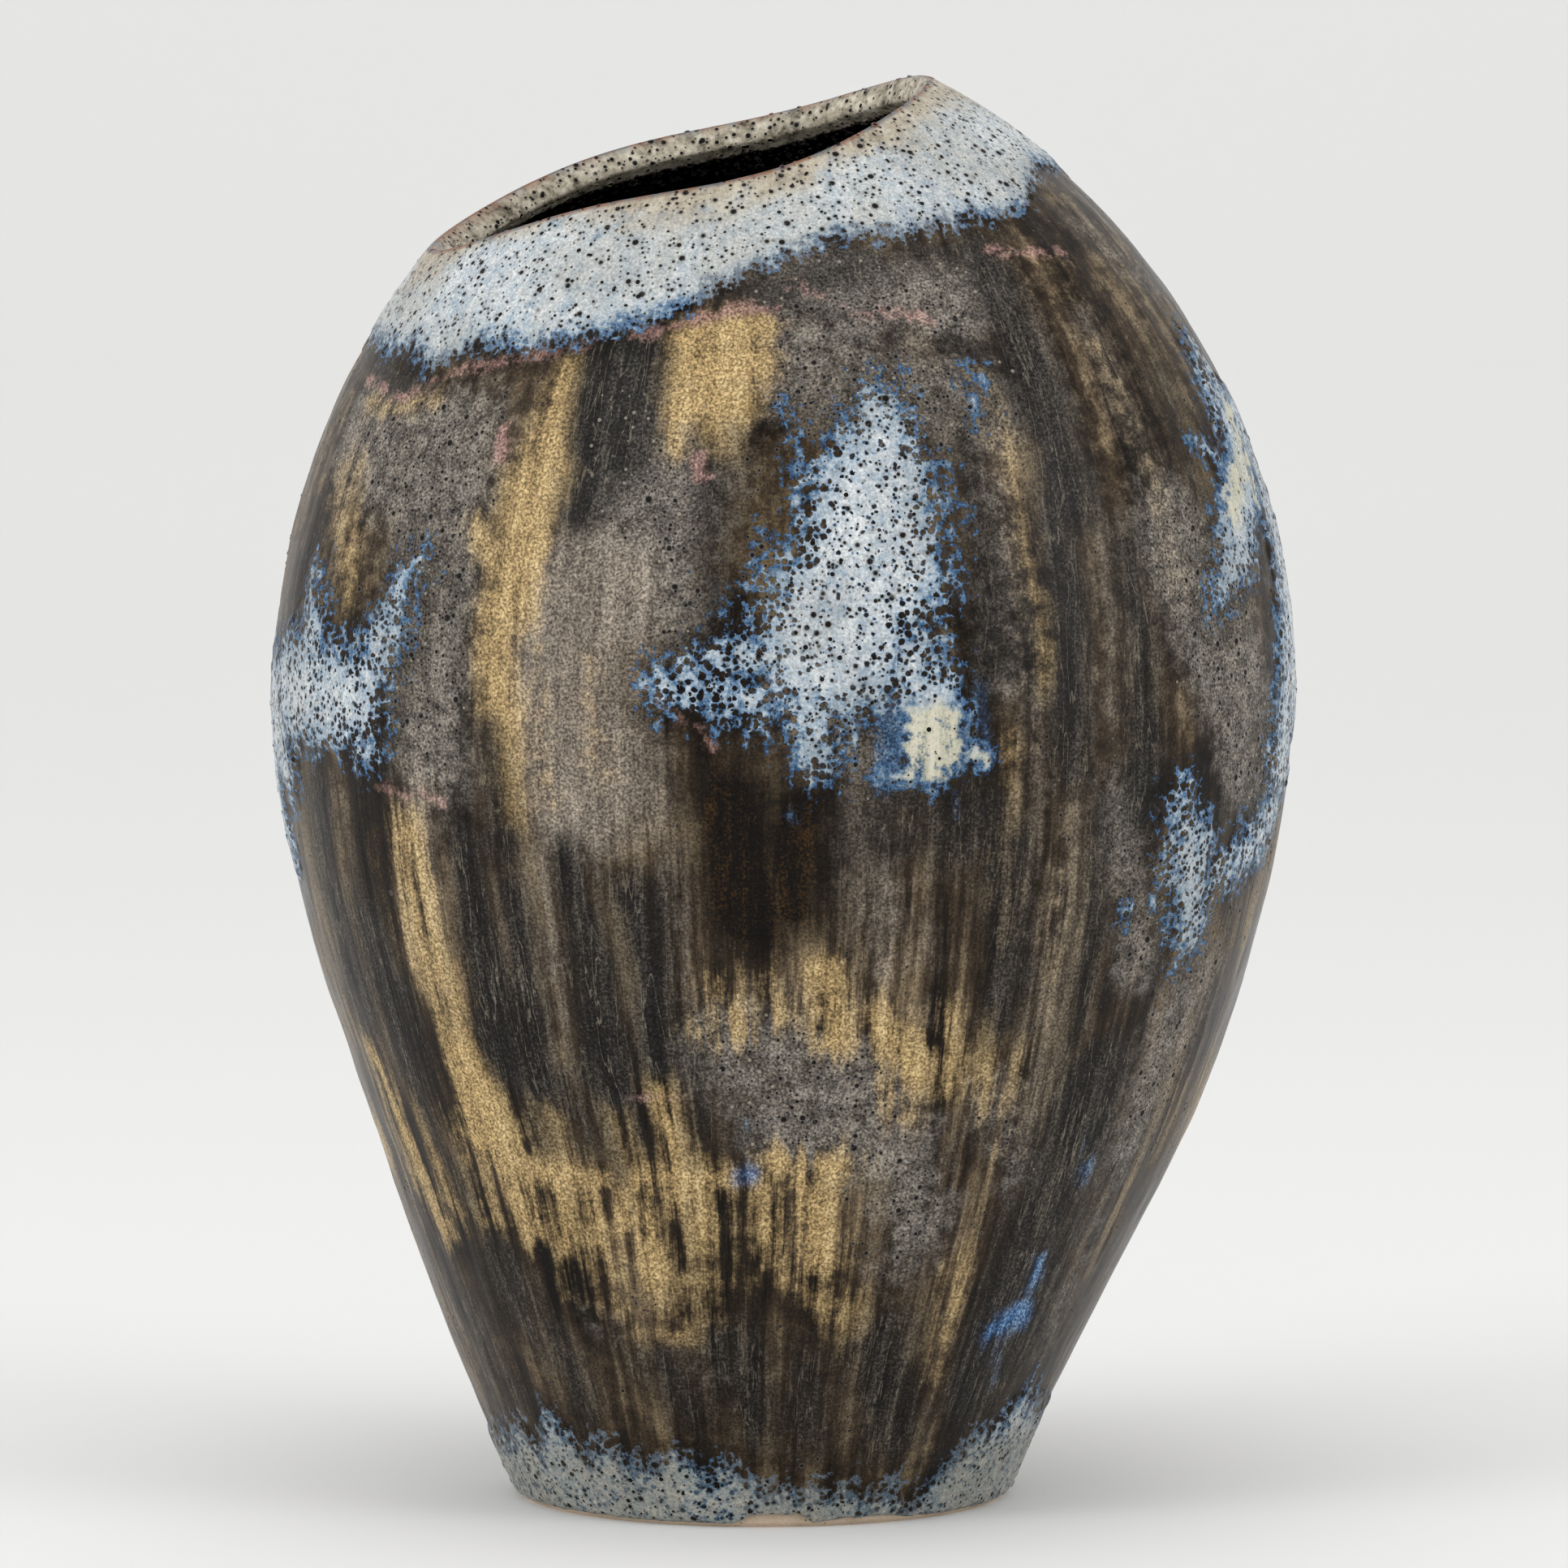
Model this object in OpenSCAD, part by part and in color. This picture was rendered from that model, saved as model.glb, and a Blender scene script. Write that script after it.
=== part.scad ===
// Stoneware vase: a closed-in, wheel-thrown form with a slanted, gently rolling mouth.
// The sub-parts follow the maker's stages: turned foot ring, floor, thrown wall, black liner glaze,
// brown outer glaze, and the thick pale-blue glazes laid over it at the mouth, the foot and in splashes.
// Origin: on the standing plane, below the middle of the belly. +Z is up, +X is towards the high side
// of the mouth, and -Y is the front. Bearings are in degrees round +Z from +X, so the front is at 270.

/* [Form] */
// Height at which the domed shoulder would close
crown_h = 338; // [330:1:350]
// Height of the widest point
belly_h = 188; // [180:1:196]
// Half the width at the widest point
belly_r = 118; // [110:1:125]
// Radius of the round foot
foot_r = 56.5; // [52:0.5:62]
// How quickly the wall opens above the foot
flare = 1.69; // [1.6:0.01:1.8]
// How early the shoulder turns in
shoulder_power = 0.615; // [0.6:0.005:0.64]
// Front-to-back size of the belly as a share of its width
depth_ratio = 0.88; // [0.84:0.01:1]
// Distance that the foot stands left of the belly's middle
foot_shift = 5; // [0:0.5:8]

/* [Mouth] */
// Height at which the slanted mouth is cut through the vase's middle line
lip_h = 317; // [312:0.5:318]
// Rise of the lip towards its high side, in mm per mm
lip_slope = 0.33; // [0.2:0.01:0.34]
// Rise of the lip towards the back, in mm per mm
lip_nod = 0.085; // [0:0.005:0.1]
// Height of the slow wave along the lip
lip_wave = 2.4; // [0:0.1:2.6]
// Distance of the mouth's low corner from the middle line
mouth_left = 76; // [70:1:80]
// Length of the mouth from corner to corner
mouth_length = 108; // [104:1:112]

/* [Clay] */
// Thickness of the wall at the mouth
wall_t = 4.2; // [3.5:0.1:6]
// Thickness of the wall where it meets the floor
wall_base_t = 9; // [7:0.5:11]
// Thickness of the floor
floor_t = 8; // [6:0.5:9]
// Height of the foot ring
ring_h = 4; // [3:0.5:5]
// Width of the foot ring's standing face
ring_w = 8; // [6:0.5:10]
// Bevel round both edges of the foot ring
ring_bevel = 1; // [0.5:0.1:1.5]

/* [Glaze] */
// Thickness of the brown outer glaze
brown_t = 0.8; // [0.6:0.1:1]
// Thickness of the black liner glaze
liner_t = 0.6; // [0.5:0.1:0.8]
// Thickness of the pale-blue glazes
pale_t = 0.8; // [0.6:0.1:1]
// Height of the unglazed edge above the standing plane
bare_h = 1.5; // [1:0.1:2]
// How far the collar glaze runs down outside the mouth
collar_drop = 30; // [26:1:36]
// How far the collar glaze runs down inside the mouth
collar_inside = 9; // [8:1:16]
// Mean height of the pale band at the foot
band_h = 15; // [14:1:20]

/* [Hidden] */
columns = 48;
column_step = 360 / columns;
wall_rows = 22;
liner_rows = 14;
collar_rows = 4;
collar_inner_rows = 2;
band_rows = 3;
// How much closer the rows stand near the mouth than near the foot
row_crowd = 0.45;
floor_top = ring_h + floor_t;
// Height over which the round foot eases into the oval, centred body
foot_ease = 100;
// Height over which the thick base of the wall eases into its full-height thickness
wall_ease = 55;
// Steps that settle the mouth's height at each bearing
lip_steps = 24;
// Half a millimetre either way gives the slope of the outline
probe = 0.5;
// Clearance that keeps flat facets of one coat clear of the curved coat beneath
facet_gap = 0.1;
// Thickness of a splash at its thin edge, as a share of its full thickness
splash_edge = 0.4;
// Height of the lip's rounded top, as a share of the collar glaze's thickness
lip_bulge = 1.3;
// Share of the dome's height at which its outline stops, short of closing
dome_end = 0.999;
// How late on its way up a level row starts to tilt towards the mouth
tilt_power = 4;
splash_rows = 12;
splash_columns = 12;
ring_arc = 96;

// Waves of the collar's and the foot band's ragged edges: height, waves round the pot, starting bearing
COLLAR_WAVES = [[3, 2, 30], [2.5, 7, 0], [2, 11, 70]];
BAND_WAVES = [[5, 2, 200], [3.5, 5, 30], [2, 9, 0]];

// Outlines of the three splashes, from the top down: height, left bearing, right bearing
FRONT_OUTLINE = [[256, 278, 286], [235, 272, 288], [210, 262, 291], [186, 256, 292], [166, 272, 291]];
LEFT_OUTLINE = [[214, 196, 206], [192, 186, 222], [168, 178, 224], [150, 176, 202], [134, 180, 190]];
RIGHT_OUTLINE = [[262, 332, 346], [236, 326, 358], [205, 336, 368], [165, 322, 364], [122, 318, 328]];

CLAY = [0.78, 0.66, 0.56];
LINER = [0.05, 0.05, 0.06];
BROWN = [0.33, 0.27, 0.21];
PALE = [0.70, 0.77, 0.84];
SPLASH_BLUE = [0.62, 0.71, 0.82];

function clamp01(t) = min(max(t, 0), 1);
function ease(t) = let (c = clamp01(t)) c * c * (3 - 2 * c);
function mix(a, b, t) = a + (b - a) * t;

// Half-width of the outer skin: a cubic flare below the belly and a dome above it
function lower_r(u) = belly_r - (belly_r - foot_r) * (flare * u * u + (1 - flare) * pow(u, 3));
function upper_r(t) = belly_r * pow(1 - t * t, shoulder_power);
function body_r(z) =
    z < belly_h
    ? lower_r((belly_h - z) / belly_h)
    : upper_r(min((z - belly_h) / (crown_h - belly_h), dome_end));
function body_slope(z) = (body_r(z + probe) - body_r(z - probe)) / (2 * probe);
function centre_x(z) = -foot_shift * (1 - ease((z - floor_top) / foot_ease));
function body_depth(z) = mix(1, depth_ratio, ease((z - floor_top) / foot_ease));

// The point at height z and bearing a, moved inwards through the wall and onwards up the slope.
// Near the foot the move inwards is level, so that the wall stands flat on the floor.
function skin(z, a, inwards = 0, onwards = 0) =
    let (
        k = body_slope(z),
        n = sqrt(1 + k * k),
        tilt = ease((z - floor_top) / wall_ease),
        r = body_r(z) - inwards / mix(1, n, tilt) + onwards * k / n
    )
    [
        centre_x(z) + r * cos(a),
        body_depth(z) * r * sin(a),
        z + tilt * inwards * k / n + onwards / n
    ];

// The mouth: the height of the slanted, rolling cut, settled for each bearing
function cut_z(p) =
    lip_h + lip_slope * p.x + lip_nod * p.y
    + lip_wave * sin(360 * (p.x + mouth_left) / mouth_length);
function settle_lip(a, z, steps) = steps == 0 ? z : settle_lip(a, (z + cut_z(skin(z, a))) / 2, steps - 1);
LIP = [for (i = [0 : columns - 1]) settle_lip(i * column_step, lip_h, lip_steps)];

// Height of row s in column i: level rings at the foot (s = 0) that tilt towards the mouth (s = 1)
function row_z(s, i) =
    floor_top + s * (lip_h - floor_top) + pow(max(s, 0), tilt_power) * (LIP[i] - lip_h);
function crowd(t) = t * (1 + row_crowd * (1 - t));
function row_s(z) = (z - floor_top) / (lip_h - floor_top);
function ring(s, inwards = 0, onwards = 0) =
    [for (i = [0 : columns - 1]) skin(row_z(s, i), i * column_step, inwards, onwards)];
function wall_in(s) = brown_t + mix(wall_base_t, wall_t, ease(s * (lip_h - floor_top) / wall_ease));
function wall_s(j) = crowd(j / wall_rows);

function drop_s(mm) = 1 - mm / (lip_h - floor_top);
// Ragged edges of the collar and of the band at the foot
function waves(rows, a, j = 0) =
    j == len(rows) ? 0 : rows[j][0] * sin(rows[j][1] * a + rows[j][2]) + waves(rows, a, j + 1);
function collar_edge(a) = collar_drop + waves(COLLAR_WAVES, a);
function band_edge(a) = band_h + waves(BAND_WAVES, a);
function edge_ring(share, inwards) =
    [for (i = [0 : columns - 1])
        let (a = i * column_step, s = mix(drop_s(collar_edge(a)), 1, share))
        skin(row_z(s, i), a, inwards)];
function band_ring(share, inwards) =
    [for (i = [0 : columns - 1])
        let (a = i * column_step)
        skin(mix(bare_h, band_edge(a), share), a, inwards)];

function joined(rings) = [for (r = rings) for (p = r) p];
function quads(m, n, wrap) =
    [for (j = [0 : m - (wrap ? 1 : 2)]) for (i = [0 : n - 1])
        let (k = (i + 1) % n, b = ((j + 1) % m) * n, c = j * n)
        each [[c + i, b + i, b + k], [c + i, b + k, c + k]]];

// A closed tyre-like skin through rings of points, each next to the last
module loop_skin(rings) {
    polyhedron(joined(rings), quads(len(rings), len(rings[0]), true));
}

// A closed cup-like skin through rings of points, with a flat cap at each end
module cup_skin(rings) {
    n = len(rings[0]);
    first = [for (i = [0 : n - 1]) i];
    last = [for (i = [n - 1 : -1 : 0]) (len(rings) - 1) * n + i];
    polyhedron(joined(rings), concat(quads(len(rings), n, false), [first, last]));
}

// One bearing on a splash's outline: c is 0 on its left edge and 1 on its right edge
function outline_at(outline, z, c, j = 0) =
    z >= outline[j + 1][0] || j + 2 == len(outline)
    ? let (t = clamp01((outline[j][0] - z) / (outline[j][0] - outline[j + 1][0])))
      mix(mix(outline[j][1], outline[j + 1][1], t), mix(outline[j][2], outline[j + 1][2], t), c)
    : outline_at(outline, z, c, j + 1);
function splash_grid(outline, thick) =
    let (top = outline[0][0], bottom = outline[len(outline) - 1][0])
    [for (j = [0 : splash_rows]) for (i = [0 : splash_columns])
        let (
            z = mix(top, bottom, j / splash_rows),
            inside = min(min(j, splash_rows - j), min(i, splash_columns - i)) > 0,
            t = thick * (inside ? 1 : splash_edge)
        )
        skin(z, outline_at(outline, z, i / splash_columns), -t - facet_gap)];

// A thin lens of glaze lying on the brown coat, inside a drawn outline
module splash(outline) {
    n = splash_columns + 1;
    m = splash_rows + 1;
    count = n * m;
    outer = [for (j = [0 : m - 2]) for (i = [0 : n - 2])
        let (c = j * n + i)
        each [[c, c + 1, c + n + 1], [c, c + n + 1, c + n]]];
    inner = [for (f = outer) [f[2] + count, f[1] + count, f[0] + count]];
    rim = concat(
        [for (i = [0 : n - 2]) i],
        [for (j = [0 : m - 2]) j * n + n - 1],
        [for (i = [n - 1 : -1 : 1]) (m - 1) * n + i],
        [for (j = [m - 1 : -1 : 1]) j * n]
    );
    sides = [for (i = [0 : len(rim) - 1])
        let (a = rim[i], b = rim[(i + 1) % len(rim)])
        each [[b, a, a + count], [b, a + count, b + count]]];
    polyhedron(concat(splash_grid(outline, pale_t), splash_grid(outline, 0)), concat(outer, inner, sides));
}

module foot_ring() {
    inner_r = foot_r - ring_w;
    color(CLAY)
    translate([-foot_shift, 0, 0])
    rotate_extrude($fn = ring_arc)
    polygon([
        [inner_r + ring_bevel, 0],
        [foot_r - ring_bevel, 0],
        [foot_r, ring_bevel],
        [foot_r, ring_h],
        [inner_r, ring_h],
        [inner_r, ring_bevel]
    ]);
}

module clay_floor() {
    color(CLAY)
    translate([-foot_shift, 0, 0])
    rotate_extrude($fn = ring_arc)
    polygon([
        [0, ring_h],
        [body_r(ring_h) - brown_t - facet_gap, ring_h],
        [body_r(floor_top) - brown_t - facet_gap, floor_top],
        [0, floor_top]
    ]);
}

module clay_wall() {
    outside = [for (j = [0 : wall_rows]) ring(wall_s(j), brown_t)];
    inside = [for (j = [wall_rows : -1 : 0]) ring(wall_s(j), wall_in(wall_s(j)))];
    color(CLAY) loop_skin(concat(outside, inside));
}

// The liner covers the floor and the wall up to the collar inside the mouth
module liner_glaze() {
    top_s = drop_s(collar_inside);
    lift = liner_t / (lip_h - floor_top);
    against = [for (j = [0 : liner_rows])
        let (s = top_s * crowd(j / liner_rows))
        ring(s, wall_in(s))];
    towards = [for (j = [liner_rows : -1 : 0])
        let (s = mix(lift, top_s, crowd(j / liner_rows)))
        ring(s, wall_in(s) + liner_t)];
    color(LINER) cup_skin(concat(against, towards));
}

module brown_glaze() {
    low_s = [row_s(bare_h), row_s(ring_h)];
    all_s = concat(low_s, [for (j = [0 : wall_rows]) wall_s(j)]);
    last = len(all_s) - 1;
    outside = [for (j = [0 : last]) ring(all_s[j])];
    against = [for (j = [last : -1 : 0]) ring(all_s[j], brown_t)];
    color(BROWN) loop_skin(concat(outside, against));
}

// The collar climbs the shoulder, rounds over the lip and runs a little way down inside
module collar_glaze() {
    inner_in = wall_in(1);
    inside_s = [for (j = [1 : collar_inner_rows]) drop_s(collar_inside * j / collar_inner_rows)];
    outside = [for (j = [0 : collar_rows - 1])
        edge_ring(j / collar_rows, -pale_t * (j == 0 ? splash_edge : 1))];
    over_lip = [
        ring(1, -pale_t),
        ring(1, 0, pale_t),
        ring(1, inner_in / 2, lip_bulge * pale_t),
        ring(1, inner_in, pale_t),
        ring(1, inner_in + pale_t)
    ];
    down_inside = [for (s = inside_s) ring(s, wall_in(s) + facet_gap + pale_t)];
    against_wall = [for (j = [collar_inner_rows - 1 : -1 : 0])
        ring(inside_s[j], wall_in(inside_s[j]) + facet_gap)];
    under_lip = [ring(1, inner_in, facet_gap), ring(1, 0, facet_gap)];
    against_brown = [for (j = [collar_rows : -1 : 0]) edge_ring(j / collar_rows, -facet_gap)];
    color(PALE)
    loop_skin(concat(outside, over_lip, down_inside, against_wall, under_lip, against_brown));
}

module foot_glaze() {
    outside = [for (j = [0 : band_rows])
        band_ring(j / band_rows, -pale_t * (j == band_rows ? splash_edge : 1))];
    against = [for (j = [band_rows : -1 : 0]) band_ring(j / band_rows, -facet_gap)];
    color(PALE) loop_skin(concat(outside, against));
}

module front_splash() {
    color(SPLASH_BLUE) splash(FRONT_OUTLINE);
}

module left_splash() {
    color(SPLASH_BLUE) splash(LEFT_OUTLINE);
}

module right_splash() {
    color(SPLASH_BLUE) splash(RIGHT_OUTLINE);
}

foot_ring();
clay_floor();
clay_wall();
liner_glaze();
brown_glaze();
collar_glaze();
foot_glaze();
front_splash();
left_splash();
right_splash();
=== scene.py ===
"""Looks for a stoneware vase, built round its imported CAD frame.

The pot is a thrown stoneware body with a brown reactive glaze, over which lie thick pale-blue glazes: a
collar round the slanted mouth, a band at the foot and three splashes. Each glaze coat is a closed shell of
its own that takes the place of its CAD node. Where a glaze lies is painted on the meshes, as strokes at
bearings and heights.

Lengths are in millimetres until a mesh is made. Bearings are in degrees round +Z from +X, which puts the
front at 270.
"""

from __future__ import annotations

import logging
import math
from dataclasses import dataclass, field
from enum import Enum

import bpy
import numpy as np
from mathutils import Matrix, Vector

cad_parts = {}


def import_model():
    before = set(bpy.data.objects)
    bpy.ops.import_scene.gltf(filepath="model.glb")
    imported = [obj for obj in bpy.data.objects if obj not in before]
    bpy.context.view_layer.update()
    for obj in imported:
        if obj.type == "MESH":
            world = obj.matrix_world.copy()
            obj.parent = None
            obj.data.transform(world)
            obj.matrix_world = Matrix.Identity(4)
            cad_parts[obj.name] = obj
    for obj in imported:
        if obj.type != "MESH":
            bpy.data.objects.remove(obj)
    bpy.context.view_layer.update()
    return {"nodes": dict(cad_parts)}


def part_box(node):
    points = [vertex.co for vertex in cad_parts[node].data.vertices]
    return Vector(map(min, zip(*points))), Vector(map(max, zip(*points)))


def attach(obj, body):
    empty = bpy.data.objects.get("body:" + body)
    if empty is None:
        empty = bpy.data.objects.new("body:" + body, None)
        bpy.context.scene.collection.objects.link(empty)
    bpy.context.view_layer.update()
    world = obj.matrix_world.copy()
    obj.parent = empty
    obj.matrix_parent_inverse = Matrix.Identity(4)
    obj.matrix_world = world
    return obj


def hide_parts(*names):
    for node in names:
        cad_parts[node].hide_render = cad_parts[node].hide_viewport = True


LOG = logging.getLogger("vase")
MM = 0.001
BODY = "root"
# Numbers that scramble a cell's place and a seed, and the shift that keeps one layer's cells off the next
CELL_PRIMES = (374761393, 668265263, 2147483629)
SEED_PRIME = 1274126177
LAYER_SHIFT = 17.3
# Positions from 0 to 1 along a colour ramp, each with an sRGB hex colour
Stops = tuple[tuple[float, str], ...]


def linear(hex_colour: str) -> tuple[float, float, float, float]:
    """Turns an sRGB hex colour into linear RGBA.

    Args:
        hex_colour: Six hex digits after a hash.

    Returns:
        Linear red, green and blue, and an alpha of 1.
    """
    parts = [int(hex_colour[i : i + 2], 16) / 255 for i in (1, 3, 5)]
    r, g, b = (c / 12.92 if c <= 0.04045 else ((c + 0.055) / 1.055) ** 2.4 for c in parts)
    return r, g, b, 1.0


def ease(t: np.ndarray) -> np.ndarray:
    """A smooth step from 0 to 1 as t goes from 0 to 1."""
    c = np.clip(t, 0.0, 1.0)
    return c * c * (3 - 2 * c)


def mix(a: np.ndarray | float, b: np.ndarray | float, t: np.ndarray | float) -> np.ndarray:
    """The value a share t of the way from a to b."""
    return a + (b - a) * t


@dataclass(frozen=True)
class Wander:
    """Seeded smooth random variation through space.

    Attributes:
        seed: Which of the endless variations this is.
    """

    seed: int

    def lattice(self, cell: np.ndarray) -> np.ndarray:
        """One fixed random number from 0 to 1 for each whole-numbered cell, in rows of x, y and z."""
        word = cell.astype(np.int64) @ np.array(CELL_PRIMES) + self.seed * SEED_PRIME
        word = word & 0xFFFFFFFF
        word = ((word ^ (word >> 13)) * 1103515245) & 0xFFFFFFFF
        word = ((word ^ (word >> 15)) * 12345671) & 0xFFFFFFFF
        return ((word ^ (word >> 16)) & 0xFFFFFF) / 0xFFFFFF

    def once(self, points: np.ndarray) -> np.ndarray:
        """Smooth variation from -1 to 1, with features one unit across."""
        dome_pale_and_glint = np.floor(points)
        part = ease(points - dome_pale_and_glint)
        total = np.zeros(len(points))
        for corner in np.ndindex(2, 2, 2):
            share = np.prod(np.where(corner, part, 1 - part), axis=1)
            total += share * self.lattice(dome_pale_and_glint + np.array(corner))
        return total * 2 - 1

    def at(self, points: np.ndarray, size: float, layers: int = 3) -> np.ndarray:
        """Layered variation, each layer half the size and half the strength of the last.

        Args:
            points: Positions in rows of x, y and z.
            size: Width of the largest features, in the positions' units.
            layers: How many layers are added up.

        Returns:
            One number from about -1 to 1 for each position.
        """
        total, strength = np.zeros(len(points)), 1.0
        for k in range(layers):
            total += strength * self.once(points * (2**k / size) + LAYER_SHIFT * k)
            strength *= 0.5
        return total / (2 - 2 * strength)


@dataclass(frozen=True)
class Form:
    """The pot's outline and walls, as the CAD model has them.

    Attributes:
        belly_r: Half the width at the widest point.
        foot_r: Radius of the round foot.
        foot_x: Where the foot's centre stands.
        floor_top: Height of the floor inside.
    """

    belly_r: float
    foot_r: float
    foot_x: float
    floor_top: float
    crown_h: float = 338.0
    belly_h: float = 188.0
    flare: float = 1.69
    shoulder_power: float = 0.615
    depth_ratio: float = 0.88
    foot_ease: float = 100.0
    lip_h: float = 317.0
    lip_slope: float = 0.33
    lip_nod: float = 0.085
    lip_wave: float = 2.4
    mouth_left: float = 76.0
    mouth_length: float = 108.0
    wall_t: float = 4.2
    wall_base_t: float = 9.0
    wall_ease: float = 55.0
    brown_t: float = 0.8
    liner_t: float = 0.6
    pale_t: float = 0.8
    bare_h: float = 1.5
    collar_inside: float = 9.0

    @classmethod
    def from_frame(cls) -> Form:
        """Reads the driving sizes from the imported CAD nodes."""
        coat_low, coat_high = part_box("brown_glaze")
        ring_low, ring_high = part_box("foot_ring")
        floor_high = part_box("clay_floor")[1]
        return cls(
            belly_r=(coat_high.x - coat_low.x) / 2 / MM,
            foot_r=(ring_high.x - ring_low.x) / 2 / MM,
            foot_x=(ring_high.x + ring_low.x) / 2 / MM,
            floor_top=floor_high.z / MM,
        )

    def half_width(self, z: np.ndarray) -> np.ndarray:
        """Half the outer width at height z: a cubic flare below the belly and a dome above it."""
        u = (self.belly_h - z) / self.belly_h
        t = np.clip((z - self.belly_h) / (self.crown_h - self.belly_h), 0, 0.999)
        lower = self.belly_r - (self.belly_r - self.foot_r) * (self.flare * u * u + (1 - self.flare) * u**3)
        upper = self.belly_r * (1 - t * t) ** self.shoulder_power
        return np.where(z < self.belly_h, lower, upper)

    def slope(self, z: np.ndarray) -> np.ndarray:
        """How fast the half-width grows with height."""
        return self.half_width(z + 0.5) - self.half_width(z - 0.5)

    def stretch(self, z: np.ndarray) -> np.ndarray:
        """How far one goes along the wall for each mm of height."""
        return np.sqrt(1 + self.slope(z) ** 2)

    def skin(
        self,
        z: np.ndarray,
        bearing: np.ndarray,
        inwards: np.ndarray | float = 0.0,
        onwards: np.ndarray | float = 0.0,
    ) -> np.ndarray:
        """Points on the wall, moved inwards through it and onwards up its slope.

        Args:
            z: Heights of the points on the outer skin.
            bearing: Their bearings.
            inwards: Depth below the outer skin.
            onwards: Distance past the point, up the slope.

        Returns:
            The points in rows of x, y and z.
        """
        k = self.slope(z)
        n = np.sqrt(1 + k * k)
        tilt = ease((z - self.floor_top) / self.wall_ease)
        settle = ease((z - self.floor_top) / self.foot_ease)
        r = self.half_width(z) - inwards / mix(1, n, tilt) + onwards * k / n
        angle = np.radians(bearing)
        x = self.foot_x * (1 - settle) + r * np.cos(angle)
        y = mix(1, self.depth_ratio, settle) * r * np.sin(angle)
        return np.stack([x, y, z + tilt * inwards * k / n + onwards / n + 0 * x], axis=-1)

    def lip(self, bearing: np.ndarray) -> np.ndarray:
        """Height of the slanted, rolling lip at each bearing."""
        z = np.full(len(bearing), self.lip_h)
        for _ in range(24):
            x, y, _z = self.skin(z, bearing).T
            roll = self.lip_wave * np.sin(2 * np.pi * (x + self.mouth_left) / self.mouth_length)
            z = (z + self.lip_h + self.lip_slope * x + self.lip_nod * y + roll) / 2
        return z

    def row(self, s: np.ndarray, lip: np.ndarray) -> np.ndarray:
        """Heights of row s: level rings at the foot (s = 0) that tilt towards the mouth (s = 1)."""
        level = self.floor_top + s * (self.lip_h - self.floor_top)
        return level + np.maximum(s, 0) ** 4 * (lip - self.lip_h)

    def wall_depth(self, s: np.ndarray) -> np.ndarray:
        """Depth of the clay's inner face below the outer skin at row s."""
        thick = ease(s * (self.lip_h - self.floor_top) / self.wall_ease)
        return self.brown_t + mix(self.wall_base_t, self.wall_t, thick)


class Tone(Enum):
    """The colours that the glazes break into. Each one is a painted attribute of the meshes."""

    SKY = "sky"
    CREAM = "cream"
    COBALT = "cobalt"
    GOLD = "gold"
    CHARCOAL = "charcoal"
    STONE = "stone"
    TAN = "tan"
    ROSE = "rose"
    GLOSS = "gloss"


@dataclass(frozen=True)
class Stroke:
    """One stroke of glaze, from one place on the pot to another.

    Attributes:
        start: Bearing and height of its first end.
        end: Bearing and height of its other end.
        widths: Half its width at each end.
        strength: How strongly it covers, from 0 to 1.
    """

    start: tuple[float, float]
    end: tuple[float, float]
    widths: tuple[float, float]
    strength: float = 1.0


def strokes(*rows: tuple[float, ...]) -> tuple[Stroke, ...]:
    """Strokes from rows of bearing, height, bearing, height, half-width, half-width and strength."""
    return tuple(Stroke((r[0], r[1]), (r[2], r[3]), (r[4], r[5]), r[6]) for r in rows)


# Where each colour lies. The back carries on what the front and sides show.
FRONT_SPLASH = strokes(
    (282, 259, 281, 246, 7, 13, 1.0), (280.5, 240, 280, 222, 16, 18, 1.0),
    (277, 214, 276, 206, 19, 19, 1.0), (270, 207, 260, 199, 9, 6, 0.85), (257, 197, 267, 193, 5, 6, 0.92),
    (273, 196, 274, 181, 7, 6, 0.95), (284, 204, 286, 192, 7, 7, 1.0), (286, 190, 286, 182, 6, 6, 1.0),
    (290, 181, 291, 180, 3, 3, 0.95), (281, 177, 283, 178, 3, 3, 0.9), (283, 190, 282, 180, 3, 3, 0.6),
    (297, 264, 295, 254, 5, 4, 0.62), (271, 258, 273, 244, 5, 6, 0.62), (265, 214, 269, 230, 6, 6, 0.6),
)
LEFT_SPLASH = strokes(
    (224, 221, 219, 200, 3, 8, 1.0), (217, 196, 216, 179, 8, 6, 0.95), (202, 214, 205, 196, 6, 9, 0.9),
    (196, 191, 214, 190, 13, 11, 1.0), (188, 186, 194, 172, 14, 8, 1.0), (182, 176, 188, 152, 14, 7, 1.0),
    (176, 196, 172, 160, 10, 6, 0.9),
)
RIGHT_SPLASH = strokes(
    (346, 268, 344, 240, 6, 10, 0.95), (344, 240, 334, 224, 8, 9, 1.0), (336, 222, 329, 214, 9, 6, 1.0),
    (332, 246, 337, 240, 4, 5, 0.85), (352, 250, 354, 190, 10, 14, 1.0),
    (349, 205, 346, 172, 9, 12, 0.95), (320, 170, 322, 156, 3.5, 7, 1.0),
    (323, 156, 326, 138, 10, 8, 1.0), (330, 148, 344, 160, 7, 10, 0.9), (313, 144, 313, 143, 3, 3, 0.85),
    (318, 146, 318, 144, 1.5, 1.5, 0.8),
)
BACK_SPLASH = strokes(
    (96, 246, 92, 214, 5, 16, 1.0), (92, 212, 100, 190, 16, 12, 1.0), (104, 188, 108, 168, 6, 4, 0.9),
    (84, 196, 80, 176, 6, 4, 0.85), (130, 150, 126, 132, 5, 8, 0.8), (34, 232, 38, 206, 6, 9, 0.85),
    (20, 176, 24, 150, 7, 5, 0.8),
)
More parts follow.
